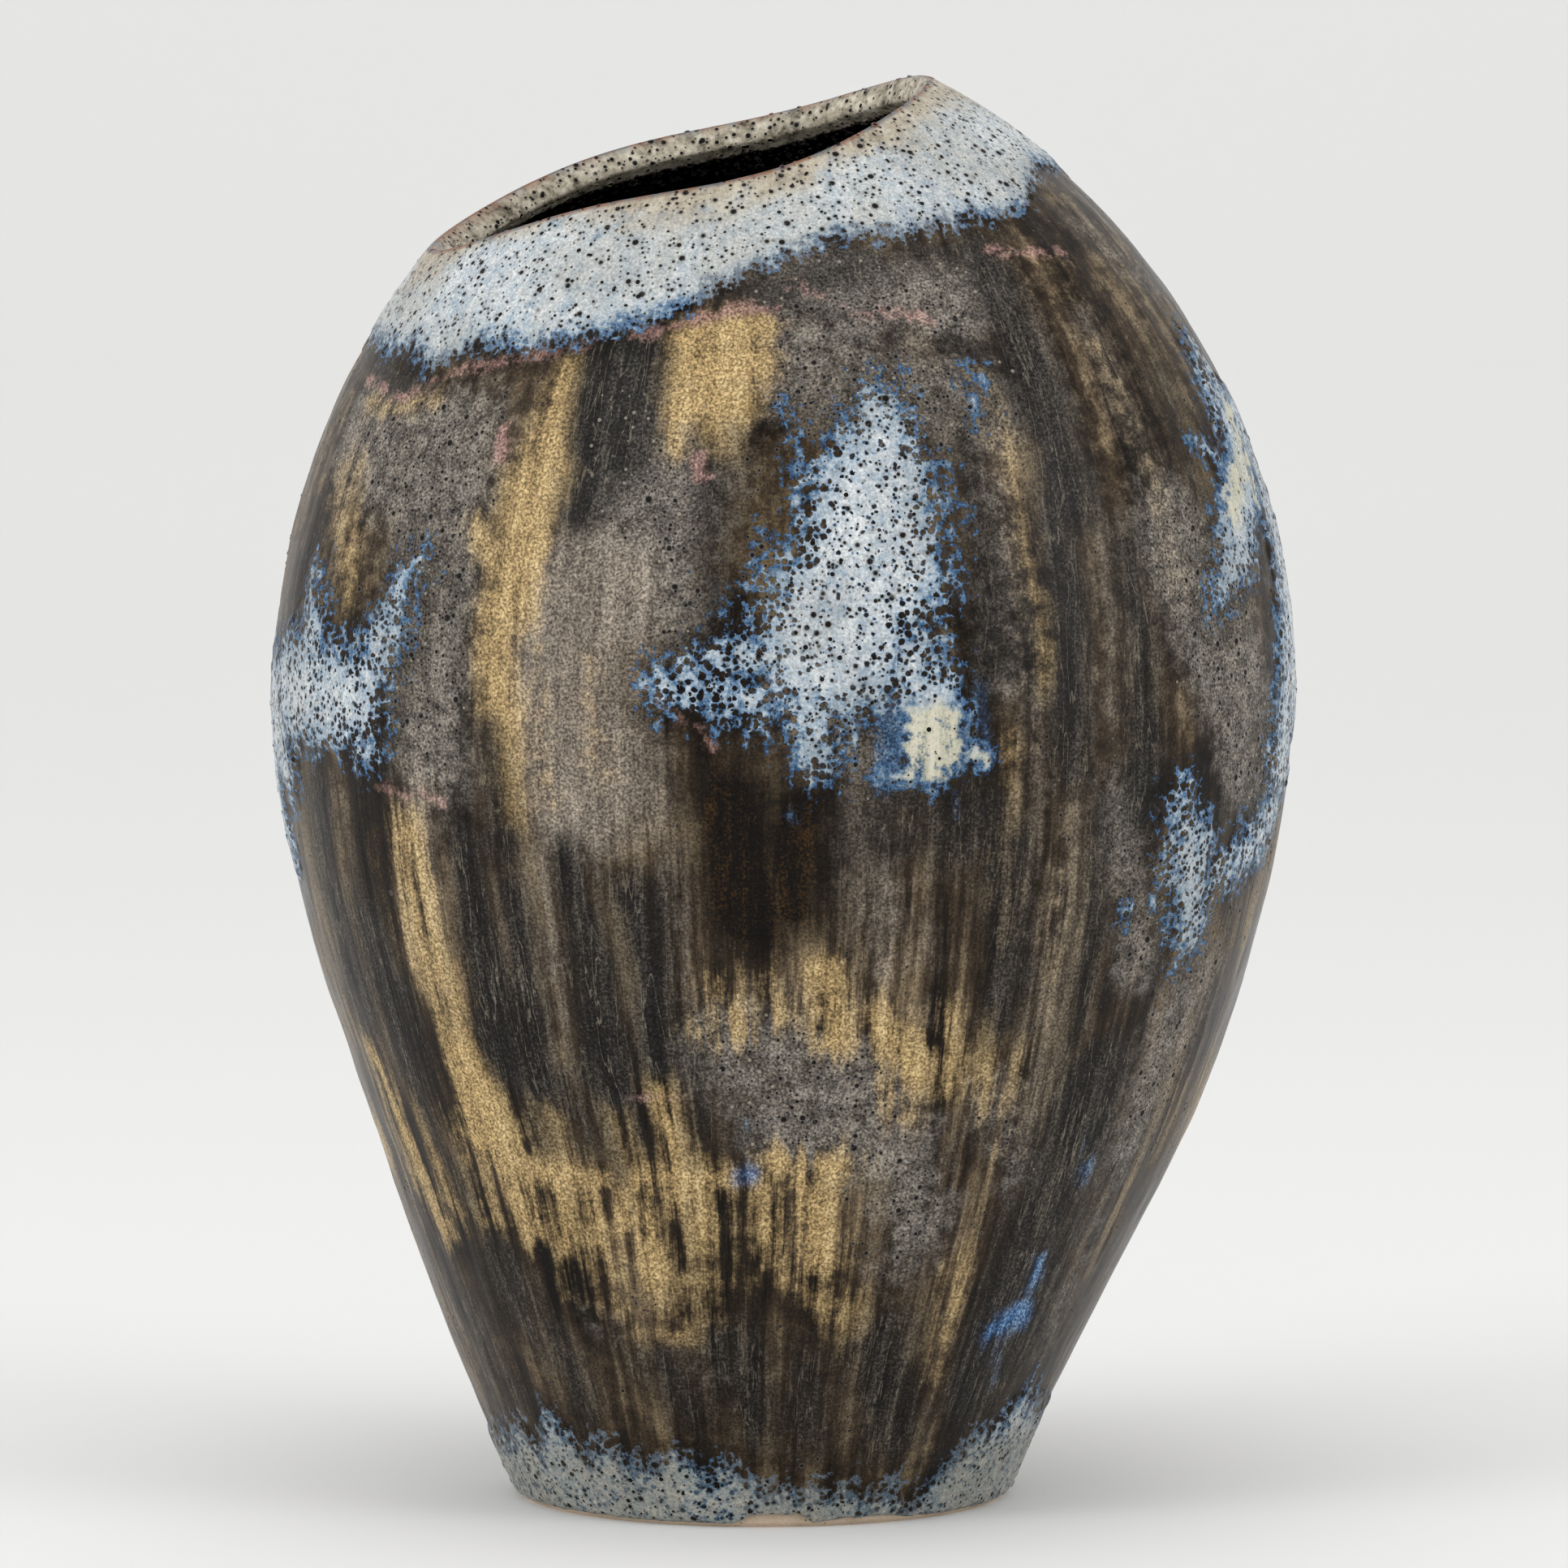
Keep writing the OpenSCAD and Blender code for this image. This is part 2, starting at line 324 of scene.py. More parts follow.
TONES: dict[Tone, tuple[Stroke, ...]] = {
    Tone.SKY: FRONT_SPLASH + LEFT_SPLASH + RIGHT_SPLASH + BACK_SPLASH,
    Tone.CREAM: strokes(
        (286, 188, 286, 181, 6, 6, 1.0), (290, 181, 291, 180, 2.5, 2.5, 0.9),
        (281, 177, 283, 178, 2, 2.5, 0.8), (334, 228, 342, 240, 5, 6, 0.7),
        (345, 232, 347, 252, 5, 6, 0.7), (96, 204, 99, 192, 5, 6, 0.8),
    ),
    Tone.COBALT: strokes(
        (282, 190, 281, 176, 5, 4, 0.8), (291, 196, 292, 180, 3, 3, 0.7),
        (288, 173, 289, 167, 1.5, 1, 0.7), (291, 171, 292, 166, 1.5, 1, 0.6),
        (264, 84, 267, 84, 3, 3, 0.85), (266, 96, 266, 95, 1.5, 1.5, 0.7),
        (271, 168, 272, 167, 1.2, 1.2, 0.8), (249, 206, 250, 207, 1.5, 1.5, 0.6),
        (318, 85, 319, 83, 2.5, 2.5, 0.75), (316, 90, 316, 89, 1.5, 1.5, 0.6),
        (317, 62, 318, 56, 3, 3, 0.85), (312, 44, 318, 47, 4, 5, 0.85), (316, 40, 319, 33, 3, 2, 0.6),
        (301, 28, 304, 24, 3, 3, 0.45), (330, 244, 334, 246, 3, 3, 0.6), (90, 60, 92, 48, 3, 5, 0.7),
        (150, 84, 151, 78, 3, 2, 0.6),
    ),
    Tone.GOLD: strokes(
        (256, 273, 266, 276, 6, 6, 1.0), (257, 267, 266, 269, 7, 7, 1.0), (257, 260, 264, 261, 7, 7, 1.0),
        (256, 255, 257, 250, 4, 4, 0.9), (262, 255, 263, 250, 5, 4, 0.95),
        (241, 265, 240, 242, 6, 8, 0.95), (239, 240, 238, 216, 9, 9, 0.85),
        (232, 230, 236, 220, 5, 7, 0.8), (236, 214, 237, 190, 8, 7, 0.8),
        (238, 190, 238, 166, 7, 6, 0.75), (242, 206, 243, 170, 5, 6, 0.55),
        (249, 204, 250, 176, 6, 7, 0.5), (203, 257, 219, 258, 4, 4, 0.75),
        (205, 238, 212, 212, 13, 9, 0.5), (222, 160, 224, 128, 8, 9, 0.7),
        (227, 128, 226, 104, 5, 6, 0.8), (222, 124, 223, 100, 4, 5, 0.72), (225, 108, 226, 90, 8, 9, 1.0),
        (221, 92, 222, 72, 4, 4, 0.85), (227, 92, 229, 70, 5, 5, 0.9), (203, 108, 206, 78, 4, 5, 0.9),
        (206, 84, 209, 66, 6, 6, 0.72), (211, 102, 214, 72, 4, 5, 0.75), (216, 96, 218, 74, 3, 4, 0.7),
        (228, 84, 262, 83, 4, 4, 1.0), (231, 90, 231.5, 70, 2.5, 4, 0.95),
        (236.5, 97, 237, 68, 2.5, 4, 1.0), (242, 88, 242, 70, 2, 4, 0.95),
        (246.5, 98, 247, 72, 2.5, 3.5, 0.95), (250.5, 88, 251, 62, 2.5, 4.5, 1.0),
        (254, 104, 254.5, 78, 4, 4, 1.0), (259, 88, 259.5, 70, 3, 4, 0.9), (238, 66, 262, 60, 8, 8, 0.46),
        (270, 62, 284, 50, 9, 9, 0.52), (270, 87, 277, 86, 5, 5, 1.0), (268, 82, 269, 68, 5, 5, 0.8),
        (274, 84, 276, 66, 7, 7, 0.85), (263, 129, 264, 118, 4, 5, 0.9), (268, 131, 270, 121, 3, 4, 0.85),
        (275, 131, 277, 116, 5, 6, 1.0), (258, 118, 262, 114, 4, 4, 0.7),
        (282, 120, 287, 108, 6, 7, 0.88), (284, 106, 285, 97, 4, 4, 0.85),
        (290, 122, 292, 104, 4, 5, 0.75), (296, 118, 298, 98, 4, 5, 0.72),
        (301, 112, 302, 86, 3, 4, 0.62), (303, 182, 304, 130, 4, 6, 0.4), (304, 130, 307, 90, 4, 6, 0.36),
        (306, 289, 321, 289, 4, 4, 0.5), (309, 284, 318, 281, 5, 5, 0.4), (313, 278, 315, 240, 6, 6, 0.3),
        (309, 236, 310, 176, 3, 4, 0.32), (298, 262, 300, 196, 6, 7, 0.5),
        (318, 270, 320, 216, 6, 5, 0.45), (294, 184, 297, 140, 7, 7, 0.46), (236, 58, 262, 50, 8, 8, 0.4),
        (272, 44, 286, 42, 7, 7, 0.36), (300, 62, 304, 34, 6, 6, 0.55), (248, 48, 258, 47, 3, 3, 0.8),
        (30, 270, 36, 244, 8, 7, 0.9), (60, 232, 66, 196, 9, 11, 0.7), (44, 120, 50, 84, 9, 9, 0.85),
        (74, 104, 98, 98, 8, 9, 0.75), (60, 84, 90, 78, 7, 8, 0.7), (110, 128, 114, 84, 8, 9, 0.9),
        (140, 240, 144, 212, 10, 8, 0.75), (150, 206, 156, 180, 14, 12, 0.5),
        (160, 116, 166, 76, 8, 9, 0.8), (176, 96, 190, 82, 8, 9, 0.75), (8, 104, 12, 70, 8, 7, 0.7),
        (20, 84, 60, 74, 7, 8, 0.7), (120, 78, 170, 70, 7, 8, 0.7), (100, 56, 130, 48, 8, 7, 0.5),
        (30, 56, 60, 48, 7, 7, 0.5), (350, 100, 356, 76, 6, 7, 0.6),
    ),
    Tone.CHARCOAL: strokes(
        (248, 268, 248, 250, 12, 12, 1.0), (247, 250, 245, 236, 10, 7, 0.85),
        (231, 158, 232, 108, 6, 8, 0.95), (237, 148, 238, 104, 6, 7, 0.95),
        (246, 156, 247, 104, 6, 8, 1.0), (253, 148, 254, 110, 7, 7, 0.95), (235, 108, 236, 90, 3, 3, 0.9),
        (241, 106, 242, 88, 3, 3, 0.9), (245, 106, 246, 84, 3, 3, 0.9), (250, 108, 251, 90, 3, 3, 0.9),
        (259, 110, 260, 90, 4, 4, 0.85), (264, 102, 265, 92, 4, 4, 0.75),
        (203, 166, 204, 120, 11, 11, 0.78), (212, 140, 213, 104, 10, 9, 0.8),
        (212, 104, 218, 76, 5, 4, 0.88), (236, 184, 237, 158, 5, 7, 0.75),
        (282, 166, 291, 166, 13, 13, 0.68), (296, 160, 298, 120, 9, 9, 0.75),
        (304, 287, 306, 236, 8, 9, 0.9), (303, 236, 304, 176, 7, 7, 0.85),
        (313, 226, 314, 168, 7, 8, 0.88), (308, 166, 309, 112, 7, 7, 0.75),
        (308, 110, 311, 60, 7, 8, 0.7), (292, 246, 293, 200, 5, 6, 0.7),
        (314, 102, 314, 34, 14, 14, 0.82), (322, 72, 322, 34, 9, 9, 0.7), (223, 272, 226, 269, 8, 7, 1.0),
        (204, 264, 217, 264, 4, 4, 0.8), (229, 267, 242, 269, 3, 3, 0.7), (260, 281, 285, 289, 5, 6, 0.8),
        (290, 292, 306, 293, 5, 6, 0.8), (222, 58, 234, 30, 11, 10, 0.66),
        (250, 40, 256, 26, 10, 9, 0.66), (264, 44, 270, 24, 10, 9, 0.66), (290, 46, 296, 20, 11, 9, 0.78),
        (206, 50, 212, 28, 10, 9, 0.66), (277, 40, 280, 20, 9, 8, 0.66), (262, 250, 263, 212, 8, 8, 0.55),
        (330, 262, 328, 236, 9, 7, 0.6), (16, 280, 20, 232, 9, 8, 0.78), (56, 176, 60, 112, 12, 13, 0.88),
        (76, 168, 80, 120, 9, 10, 0.75), (120, 190, 124, 146, 10, 11, 0.85),
        (146, 168, 150, 104, 12, 11, 0.85), (100, 150, 98, 116, 9, 9, 0.75),
        (2, 150, 4, 112, 10, 11, 0.75), (178, 130, 182, 92, 10, 10, 0.75), (20, 56, 40, 30, 12, 10, 0.7),
        (80, 46, 120, 30, 12, 10, 0.7), (150, 52, 170, 30, 12, 10, 0.7),
    ),
    Tone.TAN: strokes(
        (247, 214, 248, 172, 20, 18, 1.0), (241.5, 172, 242, 108, 3, 2, 0.85),
        (257, 172, 258, 126, 5, 3, 0.7), (235, 176, 236, 158, 3, 2, 0.8),
        (279, 170, 283, 136, 12, 12, 0.62), (297, 272, 298, 204, 5, 5, 0.6),
        (298, 196, 299, 130, 4, 5, 0.7), (309, 280, 309, 190, 3, 3, 0.8), (318, 276, 320, 216, 6, 5, 0.7),
        (304, 168, 305, 96, 5, 6, 0.72), (224, 166, 224, 132, 10, 9, 0.7),
        (203, 256, 206, 214, 11, 9, 0.6), (210, 168, 211, 120, 8, 6, 0.5),
        (268, 128, 288, 120, 8, 8, 0.55), (24, 190, 26, 120, 8, 9, 0.7), (64, 262, 70, 214, 12, 12, 0.7),
        (92, 230, 96, 150, 9, 8, 0.75), (130, 190, 132, 120, 9, 8, 0.7), (168, 168, 170, 120, 8, 8, 0.6),
    ),
    Tone.STONE: strokes(
        (204, 250, 224, 244, 15, 19, 0.92), (226, 240, 227, 180, 15, 13, 1.0),
        (252, 256, 255, 216, 15, 17, 0.95), (250, 214, 252, 200, 12, 10, 0.6),
        (264, 262, 262, 222, 7, 8, 0.6), (272, 285, 298, 283, 13, 14, 0.92),
        (272, 268, 296, 256, 15, 13, 0.92), (294, 250, 294, 196, 9, 8, 0.62),
        (264, 112, 280, 104, 13, 14, 1.0), (270, 96, 284, 90, 11, 12, 0.95),
        (286, 88, 290, 70, 10, 10, 0.88), (298, 100, 306, 82, 10, 9, 0.66),
        (272, 196, 281, 178, 11, 8, 0.85), (322, 226, 336, 178, 16, 18, 1.0),
        (311, 168, 317, 134, 10, 11, 0.85), (330, 124, 326, 90, 15, 13, 0.75),
        (326, 72, 330, 40, 11, 9, 0.55), (336, 294, 346, 284, 9, 9, 0.6), (238, 52, 262, 38, 9, 9, 0.4),
        (40, 290, 80, 276, 9, 11, 0.8), (72, 256, 108, 250, 14, 14, 0.9),
        (120, 224, 128, 200, 13, 12, 0.95), (150, 230, 176, 226, 14, 16, 0.9),
        (160, 200, 168, 176, 12, 12, 0.85), (50, 210, 46, 186, 11, 11, 0.85),
        (20, 210, 14, 180, 14, 14, 0.8), (66, 62, 72, 84, 10, 9, 0.8), (132, 108, 138, 96, 10, 10, 0.85),
        (96, 130, 100, 112, 9, 9, 0.6),
    ),
    Tone.ROSE: strokes(
        (198, 261, 218, 260, 1.8, 1.8, 0.85), (216, 263, 224, 264, 1.6, 2.0, 0.9),
        (224, 264, 233, 268, 2.2, 1.8, 1.0), (233, 268, 245, 271, 1.8, 1.6, 1.0),
        (249, 274, 257, 277, 2.0, 1.8, 1.0), (257, 277, 269, 281, 1.9, 1.6, 1.0),
        (260, 247, 261, 242, 3.0, 2.6, 0.85), (233, 251, 234, 246, 3.0, 3.0, 0.85),
        (279, 280, 291, 278, 2.2, 2.8, 0.75), (271, 286, 276, 282, 2.4, 2.0, 0.7),
        (306, 291, 322, 291, 2.2, 2.0, 0.9), (218, 169, 229, 168, 1.8, 1.6, 0.85),
        (254, 200, 262, 184, 1.4, 2.4, 0.75), (250, 102, 257, 101, 1.4, 1.4, 0.75),
        (228, 84, 240, 83, 1.2, 1.2, 0.6), (20, 287, 44, 282, 1.8, 2.0, 0.85),
        (70, 272, 104, 268, 1.8, 1.8, 0.85), (120, 262, 150, 250, 1.8, 1.8, 0.85),
        (112, 186, 122, 184, 1.6, 1.6, 0.75),
    ),
    Tone.GLOSS: strokes(
        (261, 182, 264, 166, 4, 8, 0.9), (264, 170, 266, 146, 11, 12, 1.0),
        (272, 170, 272, 147, 8, 8, 1.0), (266, 146, 268, 138, 10, 8, 0.85),
        (215, 163, 214, 146, 5, 4, 1.0), (217, 152, 217, 140, 3, 2, 0.9), (88, 168, 90, 144, 4, 5, 1.0),
        (136, 176, 136, 158, 3, 3, 0.9),
    ),
}
# Height of the collar's ragged lower edge, and of the foot band's upper edge, at bearings round the pot
COLLAR_EDGE = (
    (0, 307), (30, 303), (70, 294), (110, 288), (150, 274), (185, 269), (200, 268), (208, 269),
    (215, 265), (222, 271), (232, 270), (244, 273), (252, 277), (262, 285), (270, 290), (277, 295),
    (290, 296), (303, 298), (316, 299), (326, 304), (340, 309),
)
BAND_EDGE = (
    (0, 20), (20, 14), (40, 24), (62, 17), (86, 10), (104, 19), (130, 13), (156, 22), (180, 15),
    (204, 17), (212, 21), (216, 15), (223, 26), (231, 16), (235, 20), (245, 13), (253, 18), (258, 12),
    (263, 15), (272, 10), (285, 9), (294, 7), (300, 11), (304, 4), (310, 9), (318, 19), (331, 28),
    (344, 22),
)
# Where the glaze stops short of the standing face and bare clay shows: height of the glaze's lowest edge
BARE_EDGE = (
    (0, 0.9), (70, 0.9), (84, 2.6), (96, 2.2), (104, 0.9), (264, 0.9), (268, 3.0), (278, 3.2),
    (282, 1.0), (290, 1.8), (300, 2.0), (306, 0.9),
)


def round_curve(points: tuple[tuple[float, float], ...], bearing: np.ndarray) -> np.ndarray:
    """Heights at each bearing, along straight stretches between points that go once round the pot."""
    angles, heights = np.array(points, float).T
    return np.interp(np.asarray(bearing) % 360, angles, heights, period=360)


@dataclass
class Painter:
    """Paints the glaze's colours on a mesh, as attributes that its material reads.

    Attributes:
        form: The pot's outline.
        wobble: Variation that bends every stroke's edge sideways.
        lean: Variation that bends it upwards.
        sideways_mm: How far edges bend sideways.
        upwards_mm: How far they bend upwards.
        rag_mm: How ragged the collar's and the foot band's edges are.
        crisp: Width over which the collar's lower edge fades.
        drift_below: Height under which the runs drift sideways on their way down.
        drift: How far they drift, in degrees for each mm.
        soft: Width over which each colour's edge fades, before the material roughens it.
    """

    form: Form
    wobble: Wander = Wander(11)
    lean: Wander = Wander(23)
    sideways_mm: float = 4.2
    upwards_mm: float = 5.0
    rag_mm: float = 2.2
    crisp: float = 8.5
    drift_below: float = 120.0
    drift: float = 0.03
    soft: dict[Tone, float] = field(
        default_factory=lambda: {
            Tone.TAN: 10.0, Tone.SKY: 12.0, Tone.CREAM: 4.0, Tone.COBALT: 4.0, Tone.GOLD: 6.5,
            Tone.CHARCOAL: 7.0, Tone.STONE: 10.0, Tone.ROSE: 2.5, Tone.GLOSS: 7.0,
        }
    )  # fmt: skip

    def places(self, z: np.ndarray, bearing: np.ndarray) -> np.ndarray:
        """Bearings and heights as evenly scaled positions round a cylinder, in mm."""
        angle = np.radians(bearing)
        r = self.form.belly_r
        return np.stack([r * np.cos(angle), r * np.sin(angle), z + 0 * angle], axis=-1)

    def arc(self, z: np.ndarray) -> np.ndarray:
        """Distance up the wall from the foot to height z."""
        steps = np.linspace(-5, self.form.crown_h - 1, 700)
        run = np.cumsum(self.form.stretch(steps)[1:] * np.diff(steps))
        return np.interp(z, steps, np.concatenate([[0], run]))

    def rag(self, z: np.ndarray, bearing: np.ndarray) -> np.ndarray:
        """How far the collar's and the foot band's edges stray up or down at each place."""
        return self.rag_mm * self.wobble.at(self.places(z, bearing), 14, 4)

    def cover(self, tone: Tone, z: np.ndarray, bearing: np.ndarray) -> np.ndarray:
        """How far inside a colour's strokes each place is: 0.5 on the edge, 1 well inside and 0 well outside.

        Args:
            tone: The colour.
            z: Heights of the places.
            bearing: Their bearings.

        Returns:
            One number for each place.
        """
        at = self.places(z, bearing)
        sideways = self.sideways_mm * self.wobble.at(at, 22, 4)
        upwards = self.upwards_mm * self.lean.at(at, 26, 4)
        stretch = self.form.stretch(z)
        narrow = self.form.half_width(z) / self.form.belly_r
        degree = math.radians(self.form.belly_r)
        value = np.zeros(len(z))
        for s in TONES[tone]:
            along = np.array([(s.end[0] - s.start[0]) * degree, s.end[1] - s.start[1]])
            off = ((bearing - s.start[0] + 180) % 360 - 180) * degree + sideways
            up = z - s.start[1] + upwards
            t = np.clip((off * along[0] + up * along[1]) / max(float(along @ along), 1e-6), 0, 1)
            gap = np.hypot((off - t * along[0]) * narrow, (up - t * along[1]) * stretch)
            soft = min(self.soft[tone], 1.8 * max(s.widths))
            inside = np.clip(0.5 + (mix(*s.widths, t) - gap) / (2 * soft), 0, 1)
            value = np.maximum(value, inside * s.strength)
        if tone is Tone.SKY:
            band = round_curve(BAND_EDGE, bearing) - z + self.rag(z, bearing)
            band = np.clip(0.5 + band / (2 * self.soft[tone]), 0, 0.78)
            value = np.maximum(value, np.maximum(self.collar(z, bearing), band))
        return value

    def collar(self, z: np.ndarray, bearing: np.ndarray) -> np.ndarray:
        """How far inside the collar each place is, on the same scale as a colour's cover."""
        inside = (z - round_curve(COLLAR_EDGE, bearing) + self.rag(z, bearing)) * self.form.stretch(z)
        return np.clip(0.5 + inside / (2 * self.crisp), 0, 1)

    def paint(self, mesh: bpy.types.Mesh, z: np.ndarray, bearing: np.ndarray, side: np.ndarray) -> None:
        """Writes every colour's cover and the flow positions on a mesh's points.

        Args:
            mesh: The mesh, with one point for each place.
            z: Heights of the places.
            bearing: Their bearings.
            side: 1 for each place outside the pot and -1 for each inside.
        """
        values = {tone.value: self.cover(tone, z, bearing) for tone in Tone}
        values["rise"] = (self.form.lip(bearing) - z) * self.form.stretch(z) * MM * side
        splashed = np.clip(1 - 1.2 * self.collar(z, bearing), 0, 1)
        values["speckle"] = splashed * mix(0.4, 1, ease((z - 30) / 20))
        for name, numbers in values.items():
            attribute = mesh.attributes.new(name, "FLOAT", "POINT")
            attribute.data.foreach_set("value", numbers.astype(np.float32))
        shift = self.drift * np.maximum(self.drift_below - z, 0) * ease((self.drift_below - z) / 40)
        flow = self.places(self.arc(z), bearing - shift) * MM
        attribute = mesh.attributes.new("flow", "FLOAT_VECTOR", "POINT")
        attribute.data.foreach_set("vector", flow.astype(np.float32).ravel())


class Shell:
    """A mesh made from rows of points, with the place of each point kept for painting."""

    def __init__(
        self,
        rows: list[np.ndarray],
        heights: list[np.ndarray],
        bearings: list[np.ndarray],
        first_inside: int | None = None,
    ) -> None:
        """Keeps the rows.

        Args:
            rows: Points of each row, in mm.
            heights: Height of each point's place on the outer skin.
            bearings: Bearing of each point's place.
            first_inside: The first row that lies inside the mouth, if any does.
        """
        outer = len(rows) if first_inside is None else first_inside
        self.side = np.repeat([1] * outer + [-1] * (len(rows) - outer), len(rows[0]))
        self.points = np.concatenate(rows)
        self.z = np.concatenate(heights)
        self.bearing = np.concatenate(bearings)
        self.columns = len(rows[0])
        self.count = len(rows)

    def faces(self, round_rows: bool, round_columns: bool) -> np.ndarray:
        """Four-sided faces between neighbouring rows.

        Args:
            round_rows: Whether the last row joins the first.
            round_columns: Whether each row closes on itself.

        Returns:
            Point numbers of each face, in rows of four.
        """
        j, i = np.meshgrid(
            np.arange(self.count - (not round_rows)),
            np.arange(self.columns - (not round_columns)),
            indexing="ij",
        )
        below, above = j * self.columns, (j + 1) % self.count * self.columns
        right = (i + 1) % self.columns
        return np.stack([below + i, below + right, above + right, above + i], axis=-1).reshape(-1, 4)

    def build(self, name: str, faces: list | np.ndarray, painter: Painter | None = None) -> bpy.types.Object:
        """Makes the object, smooth-shaded and painted.

        Args:
            name: The piece's name.
            faces: Point numbers of each face.
            painter: Paints the glaze's colours, where the piece has them.

        Returns:
            The new object, linked to the scene.
        """
        mesh = bpy.data.meshes.new(name)
        mesh.from_pydata((self.points * MM).tolist(), [], [list(map(int, f)) for f in faces])
        if painter:
            painter.paint(mesh, self.z, self.bearing, self.side)
        mesh.polygons.foreach_set("use_smooth", np.ones(len(mesh.polygons), bool))
        mesh.update()
        piece = bpy.data.objects.new(name, mesh)
        bpy.context.scene.collection.objects.link(piece)
        return piece


def applied(piece: bpy.types.Object) -> bpy.types.Object:
    """Turns a piece's modifiers into its mesh."""
    graph = bpy.context.evaluated_depsgraph_get()
    mesh = bpy.data.meshes.new_from_object(piece.evaluated_get(graph))
    piece.modifiers.clear()
    old, piece.data = piece.data, mesh
    bpy.data.meshes.remove(old)
    mesh.name = piece.name
    return piece


# Settings that many nodes share
TIMES = {"operation": "MULTIPLY"}
PLUS = {"operation": "MULTIPLY_ADD"}
MINUS = {"operation": "SUBTRACT"}
SMOOTH = {"interpolation_type": "SMOOTHSTEP"}
RGBA = {"data_type": "RGBA", "out": 2}
MULTIPLY_RGBA = {"blend_type": "MULTIPLY", **RGBA}


def add(
    tree: bpy.types.NodeTree,
    kind: str,
    links: dict[str | int, object] | None = None,
    stops: Stops = (),
    out: str | int | None = 0,
    **settings: object,
) -> bpy.types.NodeSocket | bpy.types.Node:
    """Adds a node with its settings and links.

    Args:
        tree: The tree it joins.
        kind: The node's type.
        links: Values or output sockets for its inputs, by name or number.
        stops: Positions and hex colours, for a colour ramp.
        out: The output that is wanted, by name or number, or None for the whole node.
        **settings: The node's own settings.

    Returns:
        The output, or the node.
    """
    made = tree.nodes.new(kind)
    for key, value in settings.items():
        setattr(made, key, value)
    for key, value in (links or {}).items():
        if isinstance(value, bpy.types.NodeSocket):
            tree.links.new(value, made.inputs[key])
        else:
            made.inputs[key].default_value = value
    for n, (place, colour) in enumerate(stops):
        ramp = made.color_ramp.elements
        stop = ramp[n] if n < len(ramp) else ramp.new(place)
        stop.position = place
        stop.color = linear(colour)
    return made if out is None else made.outputs[out]


def blank_material(name: str) -> tuple[bpy.types.Material, bpy.types.NodeTree]:
    """A new material and its tree, which is empty."""
    made = bpy.data.materials.new(name)
    made.use_nodes = True
    made.node_tree.nodes.clear()
    return made, made.node_tree


@dataclass(frozen=True)
class Look:
    """How one colour of the glaze looks, and how its edge breaks up.

    Attributes:
        stops: Its shades, from its darkest grain to its lightest.
        edge: Cover at which it starts to show, and at which it hides what lies under it.
        crumble: How far round crumbs of 3 to 4 mm push its edge about.
        run: How far vertical runs push its edge about.
        rough: Its roughness.
        pits: How strongly pinholes mark it.
        full: How much it hides at most.
        streak: How far its shades follow the runs, and not round mottling.
    """

    stops: Stops
    edge: tuple[float, float]
    crumble: float
    run: float
    rough: float
    pits: float
    full: float
    streak: float


# In the order in which they lie over one another
LOOKS: dict[Tone, Look] = {
    Tone.STONE: Look(
        ((0.38, "#38322c"), (0.5, "#6c665f"), (0.6, "#938c83")), (0.2, 0.7), 1.3, 0.3, 0.42, 1.1, 0.88, 0.08
    ),
    Tone.TAN: Look(
        ((0.38, "#574e45"), (0.5, "#847a6e"), (0.62, "#a89c8d")), (0.2, 0.85), 0.9, 1.1, 0.36, 0.1, 0.92, 0.7
    ),
    Tone.GOLD: Look(
        ((0.36, "#5a4930"), (0.45, "#967f58"), (0.52, "#b4996a"), (0.62, "#d3bb8a")),
        (0.26, 0.72), 1.0, 1.3, 0.38, 0.1, 0.96, 0.7,
    ),
    Tone.CHARCOAL: Look(
        ((0.38, "#0b0a0a"), (0.5, "#201e1d"), (0.62, "#4a4641")), (0.24, 0.6), 0.9, 1.3, 0.3, 0.1, 0.96, 0.8
    ),
    Tone.GLOSS: Look(
        ((0.38, "#030100"), (0.52, "#100904"), (0.64, "#38260f")), (0.2, 0.5), 0.8, 0.8, 0.12, 0.0, 1.0, 0.7
    ),
    Tone.ROSE: Look(
        ((0.36, "#6b4c49"), (0.5, "#97756f"), (0.64, "#c09c90")), (0.4, 0.76), 2.2, 0.0, 0.35, 0.2, 0.8, 0.1
    ),
    Tone.COBALT: Look(
        ((0.38, "#23405f"), (0.5, "#3c669a"), (0.62, "#93b3cf")), (0.3, 0.8), 0.9, 0.9, 0.2, 0.2, 0.85, 0.7
    ),
}  # fmt: skip


